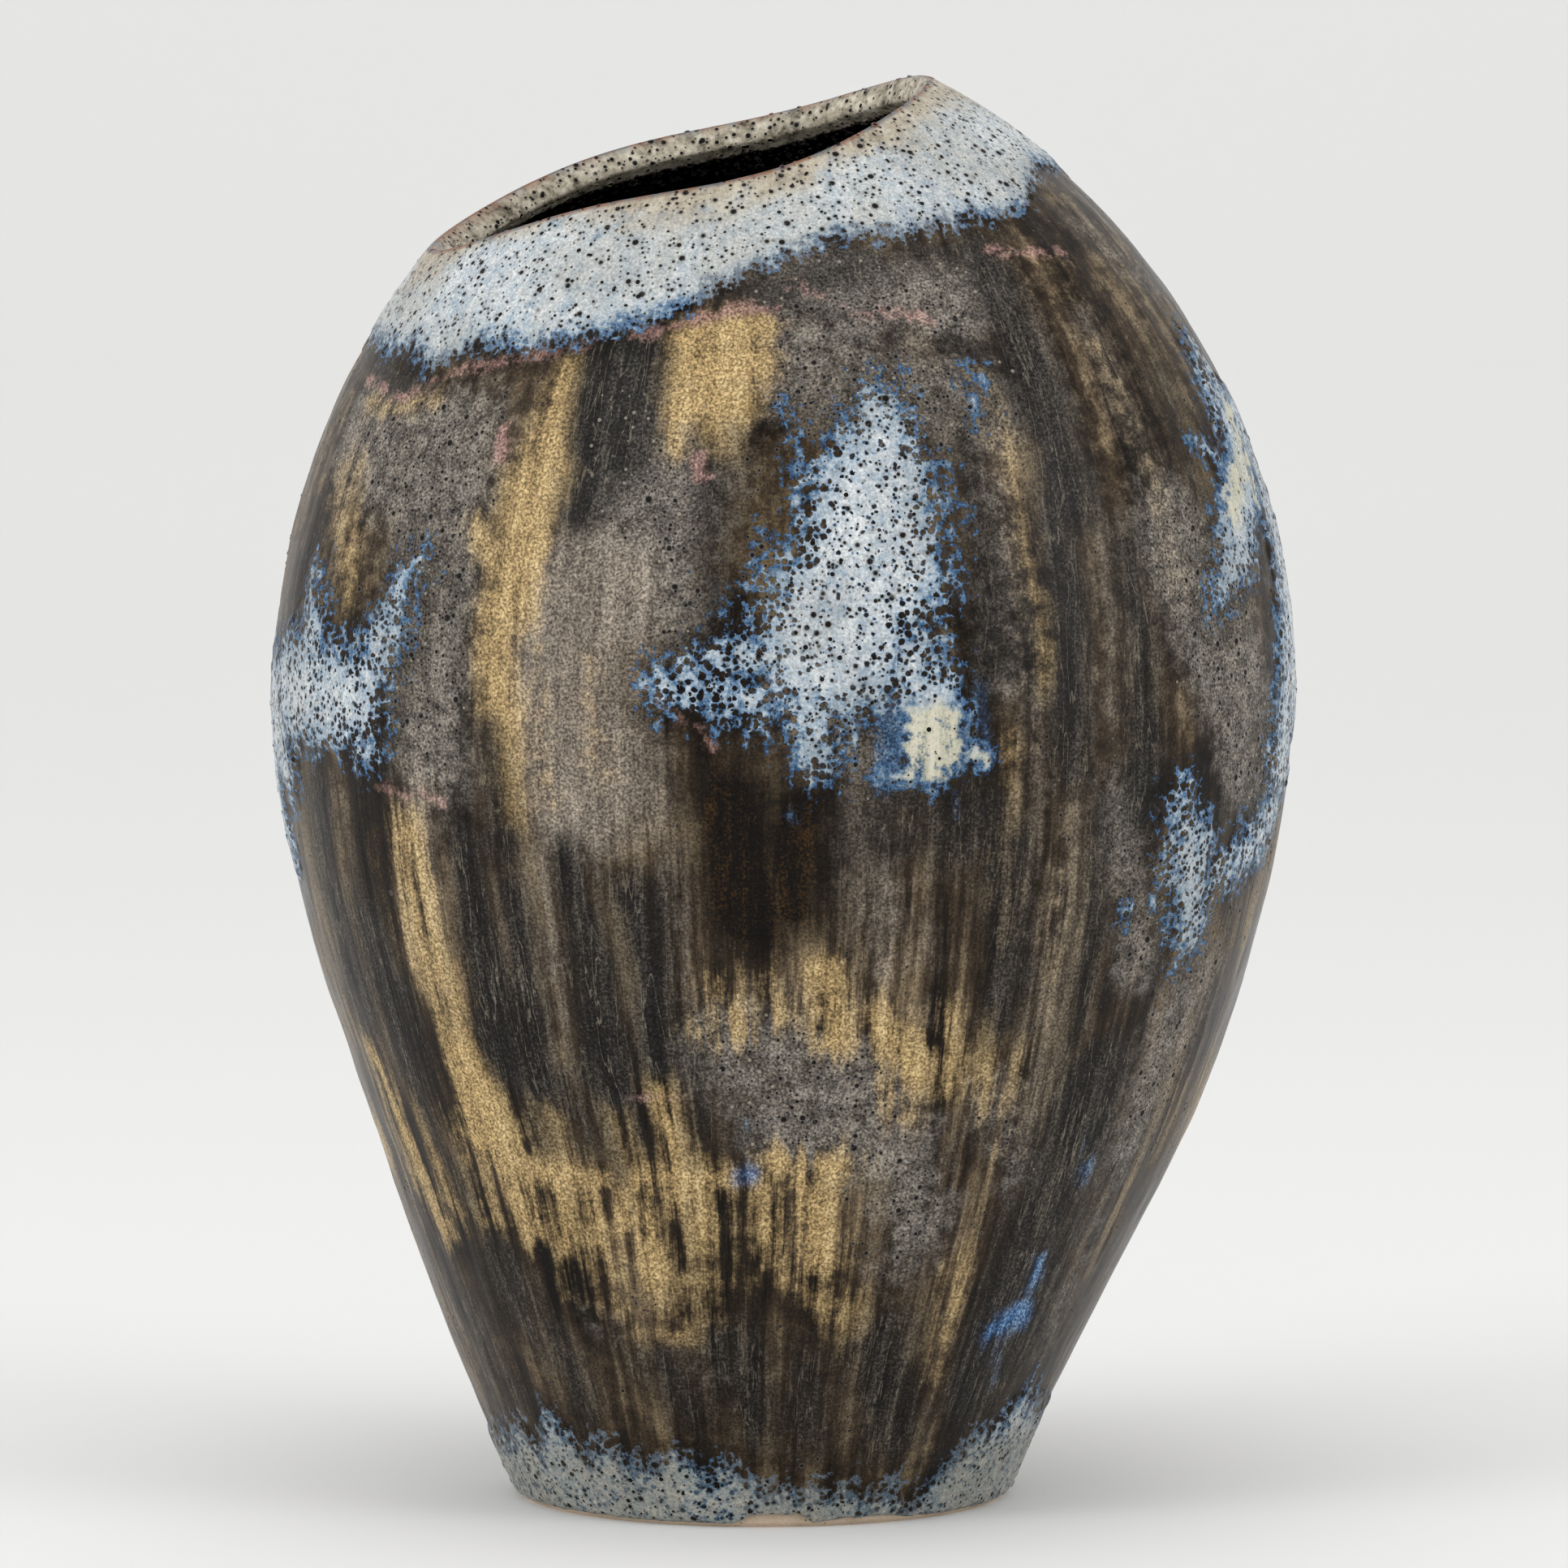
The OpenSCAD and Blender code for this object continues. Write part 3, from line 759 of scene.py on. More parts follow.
@dataclass(frozen=True)
class ReactiveGlaze:
    """Reactive stoneware glaze, poured in layers and fired glossy.

    Iron in the brown layer breaks into gold and charcoal runs. Where the pale-blue layer lies thickly it
    turns milky and keeps the pinholes of its own gas, and where it thins the blue deepens first.

    Attributes:
        name: The material's name.
    """

    name: str
    brown: Stops = ((0.4, "#0e0a06"), (0.465, "#281f16"), (0.515, "#44382a"), (0.58, "#7d6d55"))
    milk: Stops = (
        (0.0, "#2a2622"), (0.36, "#23272f"), (0.44, "#324f70"), (0.5, "#5a80a8"), (0.57, "#8aa4bc"),
        (0.68, "#a6b6c3"), (0.82, "#b9c3ca"), (1.0, "#d6dadb"),
    )  # fmt: skip
    cream: Stops = ((0.38, "#94998f"), (0.48, "#bfbda9"), (0.62, "#d8d3c0"))
    lip_tan: Stops = ((0.38, "#6a5a46"), (0.48, "#a8987e"), (0.6, "#c6bda8"))
    # Beige glaze inside the lip, painted lighter than it is: painted light against the shade inside the mouth
    inside: Stops = ((0.38, "#554f42"), (0.48, "#aca390"), (0.6, "#e0d8c6"))
    # Near-black of pinholes and crater discs: painted shade inside the holes, partly the darker glaze beneath
    hole: str = "#14110f"
    ior: float = 1.5
    crumb_mm: float = 4.2
    lace_mm: float = 2.3
    grain_mm: float = 0.62
    run_mm: float = 3.4
    broad_run_mm: float = 10.0
    run_stretch: float = 0.085
    hair_mm: float = 3.2
    hair_stretch: float = 0.13
    still_above: float = 0.19
    runny_below: float = 0.135
    still_below: float = 0.02
    cloud_mm: float = 26.0
    specular: float = 0.12
    pit_cells_mm: tuple[float, float] = (3.1, 1.45)
    pit_sizes: tuple[float, float] = (0.31, 0.36)
    speckle_mm: float = 1.6
    bend_mm: float = 1.4
    bend_by: float = 0.0011
    relief_mm: float = 0.42

    def material(self) -> bpy.types.Material:
        """Builds the material."""
        made, tree = blank_material(self.name)
        place = add(tree, "ShaderNodeTexCoord", out="Object")
        flow = add(tree, "ShaderNodeAttribute", out="Vector", attribute_name="flow")
        painted = {
            name: add(tree, "ShaderNodeAttribute", out="Fac", attribute_name=name)
            for name in (*(tone.value for tone in Tone), "speckle", "rise", "dome", "pit")
        }
        down, thread = (
            add(tree, "ShaderNodeMapping", {0: flow, "Scale": (1, 1, stretch)})
            for stretch in (self.run_stretch, self.hair_stretch)
        )
        crumb, grain, run, cloud, lace, broad = (
            add(tree, "ShaderNodeTexNoise", {0: at, "Scale": 1 / (mm * MM), "Detail": n, "Roughness": decay})
            for at, mm, n, decay in (
                (place, self.crumb_mm, 7, 0.68),
                (place, self.grain_mm, 2, 0.6),
                (down, self.run_mm, 6, 0.66),
                (place, self.cloud_mm, 3, 0.5),
                (place, self.lace_mm, 5, 0.7),
                (down, self.broad_run_mm, 3, 0.55),
            )
        )
        # Hairlines, 0.3 mm wide, where one run crept past another
        wisp = {"Scale": 1 / (self.hair_mm * MM), "Detail": 3, "Roughness": 0.5, "Distortion": 0.12}
        hair = add(tree, "ShaderNodeTexNoise", {0: thread, **wisp})
        hair = add(tree, "ShaderNodeMath", {0: hair, 1: 0.5}, **MINUS)
        hair = add(tree, "ShaderNodeMath", {0: hair}, operation="ABSOLUTE")
        hair = add(tree, "ShaderNodeMapRange", {0: hair, 1: 0.003, 2: 0.014, 3: 1.0, 4: 0.0}, **SMOOTH)

        # Glaze crawls and crumbles on the shoulder, and runs in threads further down
        height = add(tree, "ShaderNodeSeparateXYZ", {0: place}, out=2)
        runny = add(tree, "ShaderNodeMapRange", {0: height, 1: self.still_above, 2: self.runny_below})
        foot = add(tree, "ShaderNodeMapRange", {0: height, 1: self.still_below, 2: 0.09, 3: 0.2})
        runny = add(tree, "ShaderNodeMath", {0: runny, 1: foot}, **TIMES)
        local = add(tree, "ShaderNodeMix", {0: 0.35, 2: crumb, 3: run})
        local = add(tree, "ShaderNodeMix", {0: runny, 2: local, 3: run})
        soft = add(tree, "ShaderNodeMix", {0: 0.5, 2: broad, 3: cloud})
        shade = add(tree, "ShaderNodeMix", {0: 0.58, 2: local, 3: soft})
        threads = add(tree, "ShaderNodeMapRange", {0: runny, 3: 0.45, 4: 1.7})
        off_run = add(tree, "ShaderNodeMath", {0: run, 1: 0.5}, **MINUS)
        off_run = add(tree, "ShaderNodeMath", {0: off_run, 1: threads}, **TIMES)
        colour = add(tree, "ShaderNodeValToRGB", {0: shade}, self.brown)
        rough = add(tree, "ShaderNodeMapRange", {0: cloud, 1: 0.3, 2: 0.7, 3: 0.2, 4: 0.36})
        pitted = add(tree, "ShaderNodeMapRange", {0: cloud, 1: 0.42, 2: 0.62, 3: 0.25, 4: 0.75})
        speck, mottle = (add(tree, "ShaderNodeMix", {0: 0.35, 2: base, 3: grain}) for base in (run, crumb))
        cores = {}
        for tone, look in LOOKS.items():
            cover = painted[tone.value]
            ran = add(tree, "ShaderNodeMath", {0: crumb, 1: look.crumble, 2: cover}, **PLUS)
            ran = add(tree, "ShaderNodeMath", {0: off_run, 1: look.run, 2: ran}, **PLUS)
            start, stop = (edge + look.crumble / 2 for edge in look.edge)
            span = {1: start, 2: stop, 3: 0.0, 4: look.full}
            core = add(tree, "ShaderNodeMapRange", {0: ran, **span}, **SMOOTH)
            # A weak stroke is only a film, and nothing shows where nothing was painted
            film = add(tree, "ShaderNodeMapRange", {0: cover, 1: 0.05, 2: 0.85})
            core = cores[tone] = add(tree, "ShaderNodeMath", {0: core, 1: film}, **TIMES)
            own = add(tree, "ShaderNodeMix", {0: look.streak, 2: mottle, 3: speck})
            own = add(tree, "ShaderNodeValToRGB", {0: own}, look.stops)
            colour = add(tree, "ShaderNodeMix", {0: core, 6: colour, 7: own}, **RGBA)
            rough = add(tree, "ShaderNodeMix", {0: core, 2: rough, 3: look.rough})
            pitted = add(tree, "ShaderNodeMix", {0: core, 2: pitted, 3: look.pits})
            if tone is Tone.CHARCOAL:
                line = add(tree, "ShaderNodeMath", {0: hair, 1: core}, **TIMES)
                line = add(tree, "ShaderNodeMath", {0: line, 1: 0.5}, **TIMES)
                colour = add(tree, "ShaderNodeMix", {0: line, 6: colour, 7: linear("#857c6c")}, **RGBA)
        grit = add(tree, "ShaderNodeMapRange", {0: grain, 1: 0.36, 2: 0.64, 3: 0.58, 4: 1.4})
        colour = add(tree, "ShaderNodeVectorMath", {0: colour, "Scale": grit}, operation="SCALE")

        # The milky layer: holes with deep-blue rims open where it lies thin, on ground darkened by its edge
        sky, pool, splash = painted[Tone.SKY.value], painted[Tone.CREAM.value], painted["speckle"]
        stain = add(tree, "ShaderNodeMapRange", {0: sky, 1: 0.02, 2: 0.4, 3: 0.0, 4: 0.6})
        colour = add(tree, "ShaderNodeMix", {0: stain, 6: colour, 7: linear("#9d9480")}, **MULTIPLY_RGBA)
        bend = {"Scale": 1 / (self.bend_mm * MM), "Detail": 3}
        bent = add(tree, "ShaderNodeTexNoise", {0: place, **bend}, out=1)
        wavy = add(tree, "ShaderNodeVectorMath", {0: bent, 1: (self.bend_by,) * 3, 2: place}, **PLUS)
        cell = add(tree, "ShaderNodeTexVoronoi", {0: wavy, "Scale": 1 / (self.speckle_mm * MM)}, out=None)
        chance = add(tree, "ShaderNodeSeparateColor", {0: cell.outputs["Color"]})
        chance = add(tree, "ShaderNodeMapRange", {0: chance, 3: 0.22, 4: 1.0})
        reach = add(tree, "ShaderNodeMapRange", {0: sky, 1: 0.5, 2: 1.0, 3: 0.95, 4: 0.5})
        reach = add(tree, "ShaderNodeMath", {0: reach, 1: chance}, **TIMES)
        inner = add(tree, "ShaderNodeMath", {0: reach, 1: 0.38}, **TIMES)
        span = {1: inner, 2: reach, 3: 0.68, 4: 0.0}
        eaten = add(tree, "ShaderNodeMapRange", {0: cell.outputs["Distance"], **span}, **SMOOTH)
        closed = add(tree, "ShaderNodeMapRange", {0: pool, 1: 0.0, 2: 0.35, 3: 1.0, 4: 0.0})
        for share in (splash, closed):
            eaten = add(tree, "ShaderNodeMath", {0: eaten, 1: share}, **TIMES)
        ragged = add(tree, "ShaderNodeMath", {0: sky, 1: 0.88}, operation="MINIMUM")
        for pattern, share in ((crumb, 0.8), (lace, 1.1), (run, 0.5)):
            ragged = add(tree, "ShaderNodeMath", {0: pattern, 1: share, 2: ragged}, **PLUS)
        ragged = add(tree, "ShaderNodeMath", {0: ragged, 1: 1.2}, **MINUS)
        thick = add(tree, "ShaderNodeMath", {0: ragged, 1: eaten}, use_clamp=True, **MINUS)
        milk = add(tree, "ShaderNodeValToRGB", {0: thick}, self.milk)
        # Slow patches of greyer and bluer milk, a fine grain, ashy patches on the collar, milk darker and
        # warmer towards the foot
        patch = add(tree, "ShaderNodeMapRange", {0: cloud, 1: 0.38, 2: 0.62, 3: 0.0, 4: 0.45})
        milk = add(tree, "ShaderNodeMix", {0: patch, 6: milk, 7: linear("#b4b9bd")}, **MULTIPLY_RGBA)
        fine = add(tree, "ShaderNodeMapRange", {0: grain, 1: 0.34, 2: 0.66, 3: 0.7, 4: 1.2})
        milk, warm = (
            add(tree, "ShaderNodeVectorMath", {0: ground, "Scale": fine}, operation="SCALE")
            for ground in (milk, linear("#c4bfb0")[:3])
        )
        ash = add(tree, "ShaderNodeMapRange", {0: splash, 3: 0.4, 4: 0.0})
        ashy = add(tree, "ShaderNodeMapRange", {0: soft, 1: 0.42, 2: 0.56, 3: 0.1, 4: 1.0})
        ash = add(tree, "ShaderNodeMath", {0: ash, 1: ashy}, **TIMES)
        milk = add(tree, "ShaderNodeMix", {0: ash, 6: milk, 7: warm}, **RGBA)
        # Milk darker and warmer towards the foot
        darker_to_foot = add(tree, "ShaderNodeMapRange", {0: height, 1: 0.036, 2: 0.014, 3: 0.0, 4: 0.75})
        milk = add(tree, "ShaderNodeMix", {0: darker_to_foot, 6: milk, 7: linear("#c9bda9")}, **MULTIPLY_RGBA)
        over = add(tree, "ShaderNodeMapRange", {0: thick, 1: 0.36, 2: 0.43}, **SMOOTH)
        pale = add(tree, "ShaderNodeMapRange", {0: thick, 1: 0.48, 2: 0.64}, **SMOOTH)
        rough = add(tree, "ShaderNodeMix", {0: over, 2: rough, 3: 0.24})
        pitted = add(tree, "ShaderNodeMix", {0: pale, 2: pitted, 3: 1.0})

        # Cream where the milk pooled, and tan where it ran thin off the lip
        cream = add(tree, "ShaderNodeMath", {0: crumb, 1: 0.9, 2: pool}, **PLUS)
        cream = add(tree, "ShaderNodeMapRange", {0: cream, 1: 0.92, 2: 1.15})
        cream = add(tree, "ShaderNodeMath", {0: cream, 1: pale}, **TIMES)
        pitted = add(tree, "ShaderNodeMix", {0: cream, 2: pitted, 3: 0.35})
        pooled = add(tree, "ShaderNodeValToRGB", {0: speck}, self.cream)
        near = rise = painted["rise"]
        for pattern, share in ((cloud, -0.03), (crumb, -0.012)):
            near = add(tree, "ShaderNodeMath", {0: pattern, 1: share, 2: near}, **PLUS)
        near = add(tree, "ShaderNodeMapRange", {0: near, 1: -0.0195, 2: -0.010, 3: 0.8, 4: 0.0}, **SMOOTH)
        near = add(tree, "ShaderNodeMath", {0: near, 1: pale}, **TIMES)
        tan = add(tree, "ShaderNodeMix", {0: 0.5, 2: crumb, 3: speck})
        tan = add(tree, "ShaderNodeValToRGB", {0: tan}, self.lip_tan)
        # A rusty line where the glaze drew off the lip's outer edge; inside, beige glaze lightened as painted
        # light, then black: liner glaze and painted shade
        rust = add(tree, "ShaderNodeMapRange", {0: rise, 1: 0.0004, 2: 0.0014, 3: 0.85, 4: 0.0})
        edge = add(tree, "ShaderNodeMapRange", {0: broad, 1: 0.42, 2: 0.55})
        edge = add(tree, "ShaderNodeMix", {0: edge, 6: linear("#585d66"), 7: linear("#7c4a31")}, **RGBA)
        within = add(tree, "ShaderNodeMapRange", {0: rise, 1: -0.0001, 2: -0.0012})
        beige_and_painted_light = add(tree, "ShaderNodeMix", {0: 0.5, 2: crumb, 3: lace})
        beige_and_painted_light = add(tree, "ShaderNodeValToRGB", {0: beige_and_painted_light}, self.inside)
        # Black from a few mm down inside: partly the liner glaze's black, partly painted shade of the mouth's
        # depth
        sunk = add(tree, "ShaderNodeMath", {0: lace, 1: 0.006, 2: rise}, **PLUS)
        sunk = add(tree, "ShaderNodeMapRange", {0: sunk, 1: -0.0003, 2: -0.0013})
        liner_black_and_painted_shade = linear("#050404")
        laid = ((over, milk), (cream, pooled), (near, tan), (rust, edge), (within, beige_and_painted_light), (sunk, liner_black_and_painted_shade))
        for share, tint in laid:
            colour = add(tree, "ShaderNodeMix", {0: share, 6: colour, 7: tint}, **RGBA)

        # Pinholes from gas, each in a cell of its own: 0.4 to 1.7 mm wide, dark, with a raised rim; their
        # near-black is painted shade in the hole, partly the darker glaze beneath
        depth = 0.0
        for cell_mm, size in zip(self.pit_cells_mm, self.pit_sizes):
            cell = add(tree, "ShaderNodeTexVoronoi", {0: place, "Scale": 1 / (cell_mm * MM)}, out=None)
            chance = add(tree, "ShaderNodeSeparateColor", {0: cell.outputs["Color"]}, out=1)
            chance = add(tree, "ShaderNodeMath", {0: chance, 1: 2.0}, operation="POWER")
            reach = add(tree, "ShaderNodeMapRange", {0: chance, 3: 0.4 * size, 4: size})
            reach = add(tree, "ShaderNodeMath", {0: reach, 1: pitted}, **TIMES)
            inner, wide = (add(tree, "ShaderNodeMath", {0: reach, 1: part}, **TIMES) for part in (0.6, 1.55))
            hole, rim = (
                add(tree, "ShaderNodeMapRange", {0: cell.outputs[0], 1: a, 2: b, 3: 1.0, 4: 0.0}, **SMOOTH)
                for a, b in ((inner, reach), (reach, wide))
            )
            halo = add(tree, "ShaderNodeMath", {0: rim, 1: 0.3}, **TIMES)
            for share, tint in ((halo, "#83807c"), (hole, self.hole)):
                colour = add(tree, "ShaderNodeMix", {0: share, 6: colour, 7: linear(tint)}, **RGBA)
            for part, lift in ((hole, -1.6), (rim, 0.45)):
                depth = add(tree, "ShaderNodeMath", {0: part, 1: lift, 2: depth}, **PLUS)
            rough = add(tree, "ShaderNodeMix", {0: hole, 2: rough, 3: 0.6})
        # Bubbles painted pale: partly their own whitish glaze, partly painted highlight that stands for their
        # glints
        dome_pale_and_glint = add(tree, "ShaderNodeMath", {0: painted["dome"], 1: 0.55}, **TIMES)
        # Crater discs tagged pit turn near-black: painted shade of the hole, partly the darker glaze beneath
        for share, tint in ((dome_pale_and_glint, "#b3aa9a"), (painted["pit"], self.hole)):
            colour = add(tree, "ShaderNodeMix", {0: share, 6: colour, 7: linear(tint)}, **RGBA)

        # Relief, in shares of its full depth: milk stands thick, stone is bubbly, runs and grain are faint
        lumps = add(tree, "ShaderNodeMath", {0: crumb, 1: cores[Tone.STONE]}, **TIMES)
        swell = depth
        for part, lift in ((pale, 0.9), (lumps, 1.8), (run, 0.5), (grain, 0.22)):
            swell = add(tree, "ShaderNodeMath", {0: part, 1: lift, 2: swell}, **PLUS)
        high = self.relief_mm * MM
        bump = add(tree, "ShaderNodeBump", {"Strength": 0.8, "Distance": high, "Height": swell})
        gloss = {"Roughness": rough, "IOR": self.ior, "Specular IOR Level": self.specular}
        shader = add(tree, "ShaderNodeBsdfPrincipled", {"Base Color": colour, "Normal": bump, **gloss})
        add(tree, "ShaderNodeOutputMaterial", {0: shader}, out=None)
        return made


@dataclass(frozen=True)
class LinerGlaze:
    """Black iron liner glaze, poured in and swilled round: a deep, even gloss with a faint roll. Its
    near-black is partly the glaze's own and partly painted shade deep inside the mouth.
    """

    # Near-black: partly the liner glaze's own black, partly painted shade deep inside the pot
    shades: Stops = ((0.35, "#030303"), (0.65, "#080808"))
    rough: float = 0.3
    specular: float = 0.15
    roll_mm: float = 14.0
    relief_mm: float = 0.4

    def material(self) -> bpy.types.Material:
        """Builds the material."""
        made, tree = blank_material("black_liner_glaze")
        place = add(tree, "ShaderNodeTexCoord", out="Object")
        roll = add(tree, "ShaderNodeTexNoise", {0: place, "Scale": 1 / (self.roll_mm * MM), "Detail": 3})
        tint = add(tree, "ShaderNodeValToRGB", {0: roll}, self.shades)
        bump = add(tree, "ShaderNodeBump", {"Strength": 0.5, "Distance": self.relief_mm * MM, "Height": roll})
        gloss = {"Roughness": self.rough, "Specular IOR Level": self.specular}
        shader = add(tree, "ShaderNodeBsdfPrincipled", {"Base Color": tint, "Normal": bump, **gloss})
        add(tree, "ShaderNodeOutputMaterial", {0: shader}, out=None)
        return made


@dataclass(frozen=True)
class BareStoneware:
    """Unglazed buff stoneware, turned and fired: matt, sandy, with iron specks and turning lines."""

    shades: Stops = ((0.3, "#a8907a"), (0.5, "#cdb9a2"), (0.7, "#dccbb6"))
    fleck: str = "#4a3226"
    sand_mm: float = 0.5
    cloud_mm: float = 12.0
    speck_cell_mm: float = 2.6
    turning_mm: float = 1.2
    relief_mm: float = 0.25
    rough: float = 0.85
    ior: float = 1.5

    def material(self) -> bpy.types.Material:
        """Builds the material."""
        made, tree = blank_material("bare_stoneware")
        place = add(tree, "ShaderNodeTexCoord", out="Object")
        grit = {"Scale": 1 / (self.sand_mm * MM), "Detail": 4, "Roughness": 0.7}
        sand = add(tree, "ShaderNodeTexNoise", {0: place, **grit})
        cloud = add(tree, "ShaderNodeTexNoise", {0: place, "Scale": 1 / (self.cloud_mm * MM), "Detail": 3})
        shade = add(tree, "ShaderNodeMix", {0: 0.5, 2: sand, 3: cloud})
        colour = add(tree, "ShaderNodeValToRGB", {0: shade}, self.shades)
        cell = add(tree, "ShaderNodeTexVoronoi", {0: place, "Scale": 1 / (self.speck_cell_mm * MM)})
        fleck = add(tree, "ShaderNodeMapRange", {0: cell, 1: 0.06, 2: 0.12, 3: 0.8, 4: 0.0})
        colour = add(tree, "ShaderNodeMix", {0: fleck, 6: colour, 7: linear(self.fleck)}, **RGBA)
        centred = add(tree, "ShaderNodeMapping", {0: place, "Location": (5 * MM, 0, 0)})
        rings = {"wave_type": "RINGS", "rings_direction": "Z", "out": "Fac"}
        wave = {"Scale": 0.314 / (self.turning_mm * MM), "Distortion": 0.6, "Detail": 2}
        turning = add(tree, "ShaderNodeTexWave", {0: centred, **wave}, **rings)
        height = add(tree, "ShaderNodeMath", {0: turning, 1: 0.25, 2: sand}, **PLUS)
        high = self.relief_mm * MM
        bump = add(tree, "ShaderNodeBump", {"Strength": 0.6, "Distance": high, "Height": height})
        matt = {"Roughness": self.rough, "IOR": self.ior}
        shader = add(tree, "ShaderNodeBsdfPrincipled", {"Base Color": colour, "Normal": bump, **matt})
        add(tree, "ShaderNodeOutputMaterial", {0: shader}, out=None)
        return made


@dataclass(frozen=True)
class StudioPaper:
    """White seamless paper: matt, with no visible grain at this distance."""

    colour: str = "#f4f4f3"
    rough: float = 0.9

    def material(self) -> bpy.types.Material:
        """Builds the material."""
        made, tree = blank_material("studio_paper")
        matt = {"Base Color": linear(self.colour), "Roughness": self.rough}
        add(tree, "ShaderNodeOutputMaterial", {0: add(tree, "ShaderNodeBsdfPrincipled", matt)}, out=None)
        return made


@dataclass(frozen=True)
class Relief:
    """The hand's marks in the body, and how thick the milky glaze stands on it.

    Attributes:
        throw_mm: Depth of the slow waves that throwing and paddling leave.
        throw_size_mm: Size of those waves.
        lump_mm: Height of the glaze's lumps.
        lump_size_mm: Size of the lumps.
        sunk_mm: How far a coat sinks below the brown where it has run out.
    """

    form: Form
    painter: Painter
    slow: Wander = Wander(41)
    quick: Wander = Wander(57)
    throw_mm: float = 0.55
    throw_size_mm: float = 62.0
    lump_mm: float = 0.28
    lump_size_mm: float = 9.0
    sunk_mm: float = 0.18

    def body(self, z: np.ndarray, bearing: np.ndarray) -> np.ndarray:
        """Height of the brown coat over the plain outline, at each place."""
        at = self.painter.places(z, bearing)
        calm = ease((self.form.lip(bearing) - z) / 18) * ease((z - 2) / 12)
        waves = self.throw_mm * self.slow.at(at * np.array([1, 1, 1.4]), self.throw_size_mm, 2)
        return calm * (waves + self.lump_mm * self.quick.at(at, self.lump_size_mm, 3))

    def milk(self, z: np.ndarray, bearing: np.ndarray) -> np.ndarray:
        """Height of a milky coat over the brown: full where it lies thick, sunk where it has run out."""
        at = self.painter.places(z, bearing)
        thick = self.painter.cover(Tone.SKY, z, bearing) + 0.22 * self.quick.at(at, 4.5, 3)
        swell = 1 + 0.25 * self.slow.at(at, 7, 2)
        return mix(-self.sunk_mm, self.form.pale_t * swell, ease((thick - 0.34) / 0.34))


